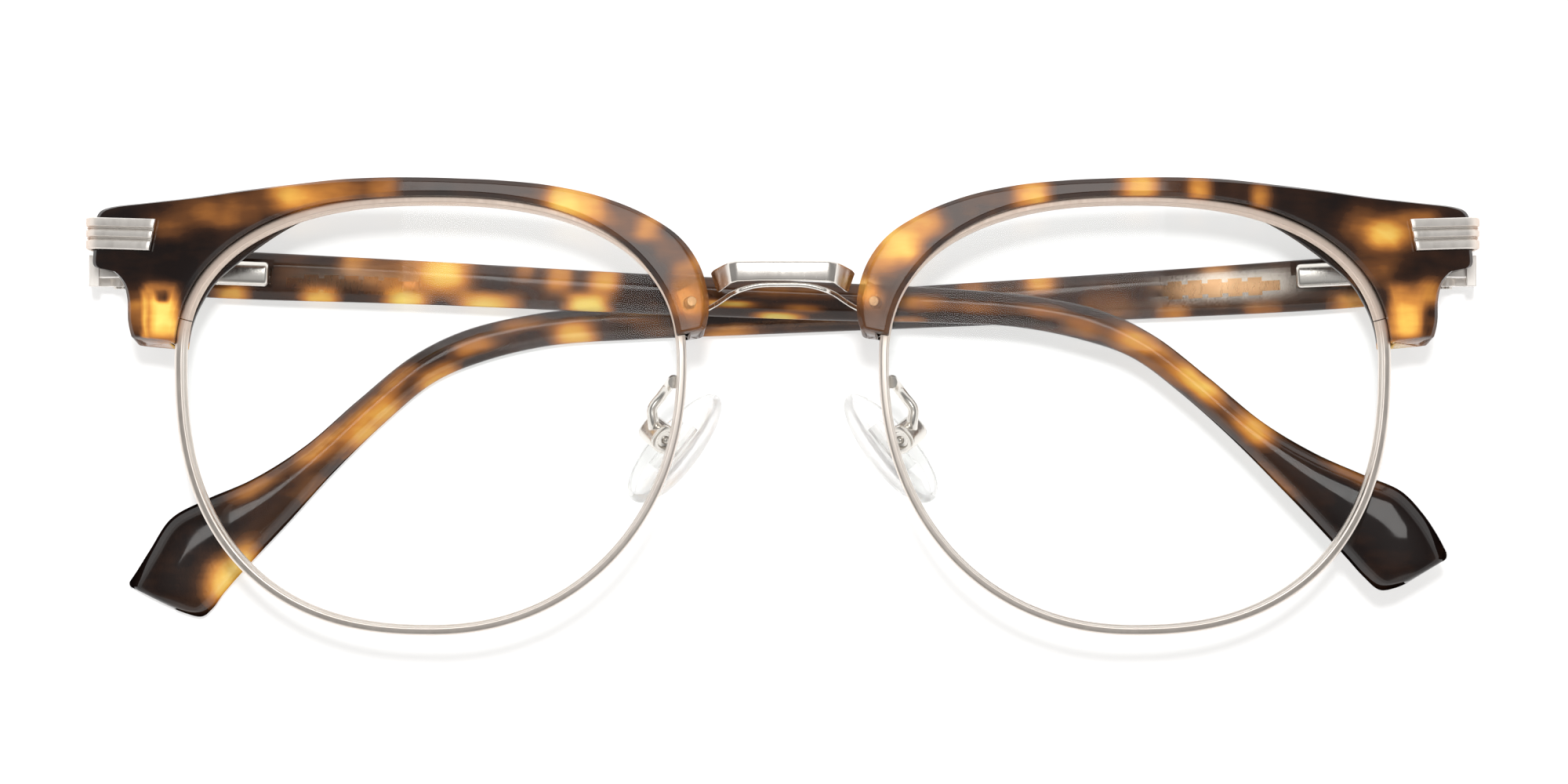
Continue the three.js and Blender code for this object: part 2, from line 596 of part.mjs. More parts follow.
function hingeSlider(side) {
  const centre = CASING_BORE.centre;
  const onScrew = (h) => templePoint(side, 0, h, HINGE_Z);
  return cut(
    joined(
      rod(onScrew(SLIDER_HEIGHT.bottom), onScrew(SLIDER_HEIGHT.top), KNUCKLE_RADIUS, 20),
      slopedBox(side, 0.9, 3.0, -0.45, 0.45, centre - 0.5, centre + 0.5),
      rod(slopedPoint(side, 2.8, 0, centre), slopedPoint(side, 13.7, 0, centre), ROD_RADIUS, 10),
      rod(slopedPoint(side, 13.6, 0, centre), slopedPoint(side, 14.2, 0, centre), 0.68, 12),
    ),
    rod(onScrew(-3), onScrew(4), SCREW_RADIUS + 0.12, 16),
  );
}

class Helix extends THREE.Curve {
  constructor(side) {
    super();
    this.side = side;
  }

  getPoint(t, target = new THREE.Vector3()) {
    const { start, end, meanRadius, turns } = SPRING;
    const angle = 2 * Math.PI * turns * t;
    const along = start + (end - start) * t;
    const [across, inwards] = [meanRadius * Math.cos(angle), meanRadius * Math.sin(angle)];
    return target.copy(slopedPoint(this.side, along, across, CASING_BORE.centre + inwards));
  }
}

const hingeSpring = (side) => tube(new Helix(side), SPRING.wireRadius, 5, SPRING.turns * 8);

// ---------------------------------------------------------------- nose pads

// Local frame of a pad: l down its length, w forward across it, n from its back face to the lens side
function padFrame(side) {
  const across = vec(0.772 * side, 0.635, 0);
  const length = vec(0.635 * side, -0.772, 0);
  const out = across.clone().multiplyScalar(Math.cos(PAD_SPLAY)).add(vec(0, 0, Math.sin(PAD_SPLAY)));
  const width = across.clone().multiplyScalar(-Math.sin(PAD_SPLAY)).add(vec(0, 0, Math.cos(PAD_SPLAY)));
  const origin = vec(PAD_CENTRE.x * side, PAD_CENTRE.y, PAD_CENTRE.z);
  return (l, w, n) =>
    origin.clone().addScaledVector(length, l).addScaledVector(width, w).addScaledVector(out, n);
}

const padBox = (side, l, w, low, high) =>
  plate([[-l, -w], [l, -w], [l, w], [-l, w]], low, high, padFrame(side));

function nosePad(side) {
  const place = padFrame(side);
  const stations = 28;
  const ring = (scale, n) => {
    const points = [];
    for (let i = 0; i < stations; i++) {
      const angle = (2 * Math.PI * i) / stations;
      // narrower at the upper end, as a drop
      const taper = 1 + 0.12 * Math.cos(angle);
      const halfWidth = PAD.halfWidth * taper;
      points.push(place(scale * PAD.halfLength * Math.cos(angle), scale * halfWidth * Math.sin(angle), n));
    }
    return points;
  };
  const rings = [
    ring(0.93, 0), ring(1, -0.55), ring(0.96, -1.15), ring(0.75, -1.75), ring(0.4, -PAD.thickness),
  ];
  const body = closedByPoles(rings, place(0, 0, 0), place(0, 0, -PAD.thickness));
  return cut(body, padBox(side, 3.0, 1.6, -0.95, 1));
}

function padInsert(side) {
  const place = padFrame(side);
  return cut(
    joined(padBox(side, 2.8, 1.4, -0.8, -0.1), padBox(side, 0.75, 0.6, -0.3, 2.2)),
    rod(place(0, -3, PAD_PIVOT), place(0, 3, PAD_PIVOT), 0.42, 12),
  );
}

function padCup(side) {
  const place = padFrame(side);
  return cut(
    padBox(side, 1.6, 1.4, 0.7, 2.9),
    padBox(side, 1.15, 0.95, 0, 2.5),
    rod(place(0, -3, PAD_PIVOT), place(0, 3, PAD_PIVOT), 0.42, 12),
  );
}

function padScrew(side) {
  const place = padFrame(side);
  const headTop = place(0, 1.85, PAD_PIVOT);
  const towards = place(0, 0, PAD_PIVOT).sub(headTop).normalize();
  return screw(headTop, towards, { headRadius: 0.7, headHeight: 0.4, radius: 0.34, length: 3.5, sides: 12 });
}

function padArm(side) {
  const place = padFrame(side);
  const start = frontPoint(side, -24.45, 3.4, -WIRE_DEPTH - 0.15);
  const at = (x, y, z) => vec(side * x, y, z);
  const points = [
    start, at(10.45, 3.5, 16.2), at(10.7, 3.3, 14.6), at(11.6, 2.6, 13.4), at(12.9, 1.6, 13.3),
    at(13.9, 0.6, 14.2), place(-0.5, 0.2, 4.1), place(0, 0, 3.0),
  ];
  return tube(points, 0.5, 8, 18);
}

// ---------------------------------------------------------------- scene graph

function named(name, geometry, material) {
  const mesh = new THREE.Mesh(geometry, material);
  mesh.name = name;
  return mesh;
}

const glasses = new THREE.Group();
glasses.position.y = LENS_LINE_Y;
glasses.add(
  named('bridge_bar', bridgeBar(), MATERIALS.silver),
  named('bridge_arch', bridgeArch(), MATERIALS.silver),
);

for (const [label, side] of Object.entries(SIDES)) {
  glasses.add(
    named(`lens_${label}`, lens(side), MATERIALS.clear),
    named(`eyewire_${label}`, eyewire(side), MATERIALS.silver),
    named(`closing_block_upper_${label}`, closingBlock(side, 1), MATERIALS.silver),
    named(`closing_block_lower_${label}`, closingBlock(side, -1), MATERIALS.silver),
    named(`rim_screw_${label}`, rimScrew(side), MATERIALS.screw),
    named(`brow_${label}`, brow(side), MATERIALS.acetate),
    named(`brow_screw_outer_${label}`, browScrew(side, OUTER_SCREW), MATERIALS.screw),
    named(`brow_screw_inner_${label}`, browScrew(side, INNER_SCREW), MATERIALS.screw),
    named(`bridge_lug_${label}`, bridgeLug(side), MATERIALS.silver),
    named(`corner_clasp_${label}`, cornerClasp(side), MATERIALS.silver),
    named(`endpiece_${label}`, endpiece(side), MATERIALS.silver),
    named(`hinge_screw_${label}`, hingeScrew(side), MATERIALS.screw),
    named(`pad_arm_${label}`, padArm(side), MATERIALS.silver),
    named(`pad_box_${label}`, padCup(side), MATERIALS.silver),
    named(`pad_screw_${label}`, padScrew(side), MATERIALS.screw),
    named(`pad_insert_${label}`, padInsert(side), MATERIALS.silicone),
    named(`nose_pad_${label}`, nosePad(side), MATERIALS.silicone),
  );

  // the hinge frame carries the roll, and the folded temple inside it carries the slant
  const hinge = new THREE.Group();
  hinge.position.set(side * HINGE_X, HINGE_Y, HINGE_Z);
  hinge.rotation.z = TEMPLE_ROLL;
  const folded = new THREE.Group();
  folded.rotation.y = side < 0 ? -RIGHT_SLANT : 0;
  folded.add(
    named(`hinge_slider_${label}`, hingeSlider(side), MATERIALS.silver),
    named(`hinge_spring_${label}`, hingeSpring(side), MATERIALS.spring),
    named(`hinge_casing_${label}`, hingeCasing(side), MATERIALS.silver),
    named(`temple_${label}`, temple(side), MATERIALS.acetate),
    named(`core_wire_${label}`, coreWire(side), MATERIALS.core),
  );
  hinge.add(folded);
  glasses.add(hinge);
}

export default glasses;
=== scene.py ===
"""Half rim eyeglasses: the visible surfaces and finishes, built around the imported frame.

The glasses lie folded on their back, with the front facing up. Sizes are in millimetres, and each mesh is
scaled to metres as it is made. Heights in the profiles are measured from the line through the lens centres.
"""

import logging
import math
from dataclasses import dataclass, field
from enum import Enum
from typing import Callable, Sequence

import bmesh
import bpy
import numpy as np
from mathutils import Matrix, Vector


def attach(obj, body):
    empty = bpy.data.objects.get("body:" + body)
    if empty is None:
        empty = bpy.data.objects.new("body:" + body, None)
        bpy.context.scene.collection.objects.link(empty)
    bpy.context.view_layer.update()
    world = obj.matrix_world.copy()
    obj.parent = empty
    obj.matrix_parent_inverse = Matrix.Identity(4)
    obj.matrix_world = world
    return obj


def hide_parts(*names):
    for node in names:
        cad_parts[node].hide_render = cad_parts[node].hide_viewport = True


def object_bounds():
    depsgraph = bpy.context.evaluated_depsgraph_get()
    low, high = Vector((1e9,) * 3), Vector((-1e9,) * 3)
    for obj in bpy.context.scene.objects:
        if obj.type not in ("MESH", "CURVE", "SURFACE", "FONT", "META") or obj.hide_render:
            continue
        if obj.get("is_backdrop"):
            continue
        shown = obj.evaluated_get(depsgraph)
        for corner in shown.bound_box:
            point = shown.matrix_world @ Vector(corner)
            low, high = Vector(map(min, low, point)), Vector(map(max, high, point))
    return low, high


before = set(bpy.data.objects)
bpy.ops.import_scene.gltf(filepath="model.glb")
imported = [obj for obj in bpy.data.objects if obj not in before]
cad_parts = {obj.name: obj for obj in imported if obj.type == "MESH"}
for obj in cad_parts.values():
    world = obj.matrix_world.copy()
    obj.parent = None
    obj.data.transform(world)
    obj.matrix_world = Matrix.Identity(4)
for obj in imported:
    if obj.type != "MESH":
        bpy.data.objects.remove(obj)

LOG = logging.getLogger("eyeglasses")
MM = 0.001
TINY = 1e-9
Array = np.ndarray
Place = Callable[[Array, Array, Array], Array]


class Side(Enum):
    """The wearer's side that a piece is on, with its sign along x."""

    RIGHT = -1
    LEFT = 1

    @property
    def label(self) -> str:
        """The side's name as nodes and bodies use it."""
        return self.name.lower()


class Slot(Enum):
    """The record's material slots."""

    SILVER = "silver_metal"
    SCREW = "screw_steel"
    SPRING = "spring_steel"
    CORE = "core_wire"
    ACETATE = "tortoise_acetate"
    LENS = "lens"
    PAD = "pad_silicone"


# ---------------------------------------------------------------- profiles and meshes


def centripetal_curve(points: Sequence[Sequence[float]], count: int) -> Array:
    """A smooth curve through every given point.

    Between two neighbours the curve is a Catmull-Rom cubic whose knots are spaced by the root of the chord
    length, so it doesn't swing out at uneven points. Samples are evenly spaced in the knots.

    Args:
        points: Control points, each with any number of coordinates.
        count: Number of samples.

    Returns:
        Samples, one row each.
    """
    p = np.asarray(points, float)
    p = np.vstack([2 * p[0] - p[1], p, 2 * p[-1] - p[-2]])
    knots = np.concatenate([[0.0], np.cumsum(np.linalg.norm(np.diff(p, axis=0), axis=1) ** 0.5)])
    u = np.linspace(knots[1], knots[-2], count)
    i = np.clip(np.searchsorted(knots, u, side="right") - 1, 1, len(p) - 3)
    k = [knots[i + n][:, None] for n in (-1, 0, 1, 2)]
    q = [p[i + n] for n in (-1, 0, 1, 2)]
    u = u[:, None]

    def mix(a: Array, b: Array, low: Array, high: Array) -> Array:
        """The point between a and b at knot u."""
        return (high - u) / (high - low) * a + (u - low) / (high - low) * b

    a = [mix(q[n], q[n + 1], k[n], k[n + 1]) for n in range(3)]
    b = [mix(a[n], a[n + 1], k[n], k[n + 2]) for n in range(2)]
    return mix(b[0], b[1], k[1], k[2])


def unit(vectors: Array) -> Array:
    """The vectors along the last axis, each divided by its length."""
    return vectors / np.linalg.norm(vectors, axis=-1, keepdims=True)


def smooth(share: Array) -> Array:
    """An S curve from 0 to 1: three times the square of the share less twice its cube, held at both ends."""
    share = np.clip(share, 0, 1)
    return share * share * (3 - 2 * share)


def spot(place: Place, x: float, y: float, z: float) -> Array:
    """One point through a placement that takes arrays."""
    return place(np.array([x]), np.array([y]), np.array([z]))[0]


def full_turn(count: int) -> Array:
    """Evenly spaced angles around a circle."""
    return np.linspace(0, 2 * math.pi, count, endpoint=False)


def distances(points: Array) -> Array:
    """How far each point of a polyline lies along it: the running sum of its chords."""
    return np.concatenate([[0.0], np.cumsum(np.linalg.norm(np.diff(points, axis=0), axis=1))])


def from_ends(count: int) -> Array:
    """How many steps each of a row of stations is from the nearer end."""
    return np.minimum(np.arange(count), np.arange(count)[::-1])


def evenly(points: Array, at: Array) -> Array:
    """Points of a polyline at given shares of its length, from 0 to 1.

    Args:
        points: The polyline, one row each.
        at: Shares of the whole length.

    Returns:
        One row for each share, by linear interpolation along the arc length.
    """
    length = distances(points)
    return np.stack([np.interp(at * length[-1], length, column) for column in points.T], axis=1)


@dataclass(frozen=True)
class Corner:
    """A corner of a section, placed by shares of the section's width and depth plus fixed offsets."""

    across: float
    depth: float
    across_offset: float = 0.0
    depth_offset: float = 0.0
    radius: float = 0.0
    lip: float = 0.0
    cover: float = 0.0


@dataclass
class Section:
    """A closed section with rounded corners that keeps its radii while its width and depth change.

    Attributes:
        corners: Corners in order, anticlockwise with the width to the right and the depth up.
        nominal: Width, depth, lip and cover at which the rounding is worked out.
        arc_steps: Segments of each rounded corner.
        edge_steps: Segments of each straight edge.
    """

    corners: Sequence[Corner]
    nominal: tuple[float, float, float, float] = (6.0, 4.0, 0.0, 0.0)
    arc_steps: int = 4
    edge_steps: int = 6
    table: Array = field(init=False)
    normal: Array = field(init=False)

    def __post_init__(self) -> None:
        """Works out the shares and offsets of every point, and the outward normals at the nominal size."""
        width, depth, lip, cover = self.nominal
        shares = np.array([[c.across, c.lip, c.cover, c.depth] for c in self.corners])
        flat = np.array([
            [c.across * width + c.across_offset + c.lip * lip + c.cover * cover,
             c.depth * depth + c.depth_offset]
            for c in self.corners
        ])
        rows: list[Array] = []
        for i, corner in enumerate(self.corners):
            before, here, after = flat[i - 1], flat[i], flat[(i + 1) % len(flat)]
            rows.append(self._arc(before, here, after, corner.radius, shares[i]))
        points: list[Array] = []
        for i, arc in enumerate(rows):
            points.append(arc)
            target = rows[(i + 1) % len(rows)][0]
            share = np.linspace(0, 1, self.edge_steps + 1)[1:-1, None]
            points.append(arc[-1] + (target - arc[-1]) * share)
        self.table = np.vstack(points)
        shape = self.points(np.array([width]), np.array([depth]), np.zeros(1), lip, cover)[0]
        along = np.roll(shape, -1, axis=0) - np.roll(shape, 1, axis=0)
        along /= np.maximum(np.linalg.norm(along, axis=1, keepdims=True), TINY)
        self.normal = np.stack([along[:, 1], -along[:, 0]], axis=1)

    def _arc(self, before: Array, here: Array, after: Array, radius: float, shares: Array) -> Array:
        """Rows of shares and offsets for one corner: a quadratic curve that leaves both edges along them.

        Args:
            before: The corner before it.
            here: The corner itself.
            after: The corner after it.
            radius: Radius of the rounding; none gives a single row.
            shares: Shares of width, lip, cover and depth, the same in every row.

        Returns:
            Rows of four shares and two offsets.
        """
        far_before, far_after = (float(np.linalg.norm(end - here)) for end in (before, after))
        to_before, to_after = (before - here) / max(far_before, TINY), (after - here) / max(far_after, TINY)
        half = 0.5 * math.acos(float(np.clip(to_before @ to_after, -1, 1)))
        reach = min(radius / max(math.tan(half), 0.2), 0.45 * min(far_before, far_after))
        t = np.linspace(0, 1, (self.arc_steps if radius > 0 else 0) + 1)[:, None]
        curve = here + (1 - t) ** 2 * to_before * reach + t ** 2 * to_after * reach
        width, depth, lip, cover = self.nominal
        base = np.array([shares[0] * width + shares[1] * lip + shares[2] * cover, shares[3] * depth])
        return np.hstack([np.repeat(shares[None], len(t), axis=0), curve - base])

    def points(self, width: Array, depth: Array, inset: Array | float = 0.0, lip: Array | float = 0.0,
               cover: Array | float = 0.0) -> Array:
        """The section at each station.

        Args:
            width: Width at each station.
            depth: Depth at each station.
            inset: How far the outline is moved in at each station.
            lip: Reach of the lip at each station.
            cover: Reach of the cover at each station.

        Returns:
            Array of stations by points by (across, depth).
        """
        t = self.table
        inset, lip, cover = (np.broadcast_to(value, width.shape) for value in (inset, lip, cover))
        across = width[:, None] * t[None, :, 0] + lip[:, None] * t[None, :, 1] \
            + cover[:, None] * t[None, :, 2] + t[None, :, 4]
        deep = depth[:, None] * t[None, :, 3] + t[None, :, 5]
        found = np.stack([across, deep], axis=2)
        if hasattr(self, "normal"):
            found = found - inset[:, None, None] * self.normal[None]
        return found


def slab(radius: float, **steps: int) -> Section:
    """A rectangle of the section's width and depth with rounded corners."""
    return Section([Corner(0, 0, radius=radius), Corner(1, 0, radius=radius),
                    Corner(1, 1, radius=radius), Corner(0, 1, radius=radius)], **steps)


def rounded_ends(length: float, radius: float, count: int, steps: int = 5) -> tuple[Array, Array]:
    """Stations along a body with quarter round ends.

    Args:
        length: Length of the body.
        radius: Radius of the rounding at both ends.
        count: Stations between the ends.
        steps: Stations in each quarter circle.

    Returns:
        Distances along the body, and the inset of the section at each.
    """
    angle = np.linspace(0, math.pi / 2, steps + 1)[:-1]
    head, drop = radius * (1 - np.cos(angle)), radius * (1 - np.sin(angle))
    middle = np.linspace(radius, length - radius, count)
    at = np.concatenate([head, middle, (length - head)[::-1]])
    inset = np.concatenate([drop, np.zeros(count), drop[::-1]])
    return at, inset


@dataclass
class Surface:
    """Points and faces of a mesh in millimetres, with values kept at its points."""

    points: Array
    faces: list
    values: dict[str, Array] = field(default_factory=dict)


def swept(rings: Array, values: dict[str, Array] | None = None) -> Surface:
    """A closed body from rings of points: quads between neighbouring rings and one flat face at each end.

    Args:
        rings: Array of rings by points by 3.
        values: Values at the points, arrays of rings by points.

    Returns:
        The surface, with its faces turned outwards.
    """
    count, size = rings.shape[:2]
    ring, point = np.meshgrid(np.arange(count - 1), np.arange(size), indexing="ij")
    after = (point + 1) % size
    quads = np.stack([ring * size + point, ring * size + after, (ring + 1) * size + after,
                      (ring + 1) * size + point], axis=2).reshape(-1, 4)
    flat = rings.reshape(-1, 3)
    a, b, c, d = (flat[quads[:, n]] for n in range(4))
    middle = flat.mean(axis=0)
    volume = np.einsum("ij,ij->", np.cross(c - a, d - b), (a + b + c + d) / 4 - middle)
    ends = [list(range(size))[::-1], list(range((count - 1) * size, count * size))]
    faces = quads.tolist() + ends
    if volume < 0:
        faces = [face[::-1] for face in faces]
    kept = {name: np.broadcast_to(v, rings.shape[:2]).reshape(-1) for name, v in (values or {}).items()}
    return Surface(flat, faces, kept)


def turned(profile: Array, sides: int, place: Place) -> Surface:
    """A body of revolution: radius and height along a profile from axis to axis, turned about the height.

    Args:
        profile: Rows of (radius, height); the first and last lie on the axis.
        sides: Points around.
        place: Maps across, along and height to a point.

    Returns:
        The surface with a single point at each pole.
    """
    angle = full_turn(sides)
    inner = profile[1:-1]
    x = inner[:, :1] * np.cos(angle)
    y = inner[:, :1] * np.sin(angle)
    rings = place(x, y, np.broadcast_to(inner[:, 1:], x.shape))
    return capped_by_poles(rings, spot(place, 0.0, 0.0, profile[0, 1]), spot(place, 0.0, 0.0, profile[-1, 1]))


def capped_by_poles(rings: Array, first: Array, last: Array) -> Surface:
    """Quads between rings and a fan of triangles to a single point at each end.

    Args:
        rings: Array of rings by points by 3.
        first: The point before the first ring.
        last: The point after the last ring.

    Returns:
        The surface, with its faces turned outwards.
    """
    body = swept(rings)
    count, size = rings.shape[:2]
    quads = body.faces[:-2]
    around = np.arange(size)
    start = np.stack([np.full(size, count * size), (around + 1) % size, around], axis=1)
    base = (count - 1) * size
    end = np.stack([np.full(size, count * size + 1), base + around, base + (around + 1) % size], axis=1)
    flipped = quads[0][0] != 0
    fans = np.vstack([start, end])
    faces = quads + (fans[:, ::-1] if flipped else fans).tolist()
    return Surface(np.vstack([body.points, first, last]), faces)


@dataclass
class Workshop:
    """Makes pieces from surfaces, dresses them and ties them to the frame."""

    finishes: dict[Slot, bpy.types.Material]
    satin: bpy.types.Material
    crease_deg: float = 32.0
    merge_mm: float = 0.004
    flat_deg: float = 1.5
    eased_deg: float = 38.0
    eased_steps: int = 3
    made: list = field(default_factory=list)

    def piece(self, name: str, surface: Surface, slot: Slot, body: str, *nodes: str,
              finish: bpy.types.Material | None = None) -> bpy.types.Object:
        """Puts a surface into a mesh object, and ties it to a body.

        Args:
            name: The piece's name.
            surface: Its points and faces in millimetres.
            slot: The material slot that it takes its finish from.
            body: The body that it moves with.
            nodes: The CAD nodes that it stands for.
            finish: A finish other than the slot's usual one.

        Returns:
            The new object.
        """
        mesh = bpy.data.meshes.new(name)
        mesh.from_pydata((surface.points * MM).tolist(), [], surface.faces)
        self._shade(mesh)
        for key, values in surface.values.items():
            layer = mesh.attributes.new(key, "FLOAT", "POINT")
            layer.data.foreach_set("value", values.astype(np.float32))
        mesh.validate()
        return self._tie(bpy.data.objects.new(name, mesh), slot, body, nodes, finish)

    def eased(self, name: str, node: str, slot: Slot, body: str, bevel: float,
              finish: bpy.types.Material | None = None) -> bpy.types.Object:
        """A copy of a CAD node's mesh with its doubles merged, its flat faces joined and its edges rounded.

        Args:
            name: The new piece's name.
            node: The CAD node that is copied and replaced.
            slot: The material slot.
            body: The body that it moves with.
            bevel: Width of the rounded edge in millimetres.
            finish: A finish other than the slot's usual one.

        Returns:
            The new object.
        """
        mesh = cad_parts[node].data.copy()
        mesh.name = name
        build = bmesh.new()
        build.from_mesh(mesh)
        bmesh.ops.remove_doubles(build, verts=build.verts, dist=self.merge_mm * MM)
        bmesh.ops.dissolve_limit(build, angle_limit=math.radians(self.flat_deg), verts=build.verts,
                                 edges=build.edges)
        build.to_mesh(mesh)
        build.free()
        self._shade(mesh)
        obj = bpy.data.objects.new(name, mesh)
        easing = obj.modifiers.new("eased edges", "BEVEL")
        easing.width = bevel * MM
        easing.segments = self.eased_steps
        easing.limit_method = "ANGLE"
        easing.angle_limit = math.radians(self.eased_deg)
        easing.use_clamp_overlap = True
        easing.harden_normals = False
        return self._tie(obj, slot, body, (node,), finish)

    def _shade(self, mesh: bpy.types.Mesh) -> None:
        """Smooth shading, with an edge kept sharp where its faces turn by more than the crease angle."""
        mesh.polygons.foreach_set("use_smooth", np.ones(len(mesh.polygons), bool))
        mesh.set_sharp_from_angle(angle=math.radians(self.crease_deg))

    def _tie(self, obj: bpy.types.Object, slot: Slot, body: str, nodes: Sequence[str],
             finish: bpy.types.Material | None) -> bpy.types.Object:
        """Links the object, gives it its finish, parents it to its body, and hides the CAD nodes that it
        stands for.

        Args:
            obj: The piece.
            slot: Its material slot.
            body: The body that it moves with.
            nodes: The CAD nodes that it stands for.
            finish: A finish other than the slot's usual one.

        Returns:
            The piece.
        """
        bpy.context.scene.collection.objects.link(obj)
        obj.data.materials.clear()
        obj.data.materials.append(finish or self.finishes[slot])
        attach(obj, body)
        if nodes:
            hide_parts(*nodes)
        self.made.append(obj.name)
        LOG.info("%s rides on %s, %d faces", obj.name, body, len(obj.data.polygons))
        return obj


# ---------------------------------------------------------------- finishes


def fill_ramp(node: bpy.types.Node, stops: Sequence[tuple[float, tuple]]) -> None:
    """Gives a colour ramp its stops, each a position and a colour without alpha."""
    elements = node.color_ramp.elements
    for position, colour in stops[1:-1]:
        elements.new(position).color = (*colour, 1)
    elements[0].position, elements[0].color = stops[0][0], (*stops[0][1], 1)
    elements[-1].position, elements[-1].color = stops[-1][0], (*stops[-1][1], 1)


class NodeBook:
    """A short way to write a node tree."""

    def __init__(self, name: str) -> None:
        """Starts an empty material of that name."""
        self.material = bpy.data.materials.new(name)
        self.material.use_nodes = True
        self.tree = self.material.node_tree
        self.tree.nodes.clear()
        self.output = self.add("ShaderNodeOutputMaterial")

    def add(self, kind: str, inputs: dict | None = None, **settings: object) -> bpy.types.Node:
        """Adds a node.

        Args:
            kind: The node's type.
            inputs: Values or sockets for its inputs, by name or number.
            settings: Properties of the node.

        Returns:
            The node.
        """
        node = self.tree.nodes.new(kind)
        for key, value in settings.items():
            setattr(node, key, value)
        for key, value in (inputs or {}).items():
            if isinstance(value, bpy.types.NodeSocket):
                self.tree.links.new(value, node.inputs[key])
            else:
                node.inputs[key].default_value = value
        return node

    def own_coordinates(self) -> bpy.types.NodeSocket:
        """The piece's own Object coordinates."""
        return self.add("ShaderNodeTexCoord").outputs["Object"]

    def noise(self, scale: float, detail: float = 2.0, stretch: tuple[float, float, float] = (1, 1, 1),
              offset: tuple[float, float, float] = (0, 0, 0)) -> bpy.types.NodeSocket:
        """Noise on Object coordinates, with scale in features per metre."""
        mapped = self.add("ShaderNodeMapping", {"Vector": self.own_coordinates(), "Scale": stretch,
                                                "Location": offset})
        settings = {"Vector": mapped.outputs[0], "Scale": scale, "Detail": detail}
        return self.add("ShaderNodeTexNoise", settings).outputs[0]

    def ranged(self, value: bpy.types.NodeSocket, low: float, high: float,
               start: float = 0.3, end: float = 0.7) -> bpy.types.NodeSocket:
        """The value, which runs from start to end, brought to the range from low to high."""
        return self.add("ShaderNodeMapRange", {0: value, 1: start, 2: end, 3: low, 4: high}).outputs[0]

    def maths(self, operation: str, a: object, b: object = 0.0, clamp: bool = False) -> bpy.types.NodeSocket:
        """The result of a sum of two values or sockets."""
        return self.add("ShaderNodeMath", {0: a, 1: b}, operation=operation, use_clamp=clamp).outputs[0]

    def bump(self, height: bpy.types.NodeSocket, distance_mm: float) -> bpy.types.NodeSocket:
        """A normal from a height pattern whose full swing is the given distance."""
        return self.add("ShaderNodeBump", {"Height": height, "Distance": distance_mm * MM}).outputs[0]

    def ramp(self, value: bpy.types.NodeSocket, stops: Sequence[tuple[float, tuple]]) -> bpy.types.NodeSocket:
        """A colour ramp with the given stops."""
        node = self.add("ShaderNodeValToRGB", {0: value})
        fill_ramp(node, stops)
        return node.outputs[0]

    def tinted(self, share: object, colour: object, other: object) -> bpy.types.NodeSocket:
        """A colour mixed towards another by a share."""
        return self.add("ShaderNodeMix", {0: share, 6: colour, 7: other}, data_type="RGBA").outputs[2]

    def attribute(self, name: str) -> bpy.types.NodeSocket:
        """A number kept at the points of the piece."""
        return self.add("ShaderNodeAttribute", attribute_name=name).outputs["Fac"]

    def blend(self, share: object, first: bpy.types.Node, second: bpy.types.Node) -> bpy.types.Material:
        """The material that mixes two shaders by a share of the second."""
        both = self.add("ShaderNodeMixShader", {0: share, 1: first.outputs[0], 2: second.outputs[0]})
        return self.finish(both.outputs[0])

    def finish(self, shader: bpy.types.NodeSocket) -> bpy.types.Material:
        """Joins the shader to the output and returns the material."""
        self.tree.links.new(shader, self.output.inputs[0])
        return self.material


@dataclass(frozen=True)
class MetalFinish:
    """A metal with fine handling marks, slight colour drift and a faint uneven gloss."""

    name: str
    colour: tuple[float, float, float]
    shade: tuple[float, float, float]
    roughness: tuple[float, float]
    ripple_mm: float = 0.004
    # the darker amber colour of the painted shade, and the roughness that it adds
    warm: tuple[float, float, float] = (0.84, 0.71, 0.62)
    painted_shade_roughness: float = 0.34

    def make(self) -> bpy.types.Material:
        """The material: two noises drive colour and gloss, and a third the ripple of the polish.

        Where a piece's attribute asks for it, painted shade mixes the colour towards a darker amber tone like
        the acetate's, and roughens the gloss.
        """
        book = NodeBook(self.name)
        drift = book.ranged(book.noise(240.0, 3.0), 0.0, 1.0)
        marks = book.noise(2600.0, 4.0, (1.0, 0.25, 1.0))
        colour = book.ramp(drift, [(0.0, self.shade), (1.0, self.colour)])
        # painted shade: the piece's attribute mixes the colour towards a darker amber tone and roughens the
        # gloss
        near = book.attribute("warm")
        colour = book.tinted(near, colour, (*self.warm, 1))
        gloss = book.ranged(marks, *self.roughness)
        gloss = book.maths("ADD", gloss, book.maths("MULTIPLY", near, self.painted_shade_roughness))
        ripple = book.maths("ADD", book.noise(420.0, 1.0), book.maths("MULTIPLY", marks, 0.12))
        shader = book.add("ShaderNodeBsdfPrincipled", {
            "Base Color": colour, "Metallic": 1.0, "Roughness": gloss,
            "Normal": book.bump(ripple, self.ripple_mm),
        })
        return book.finish(shader.outputs[0])


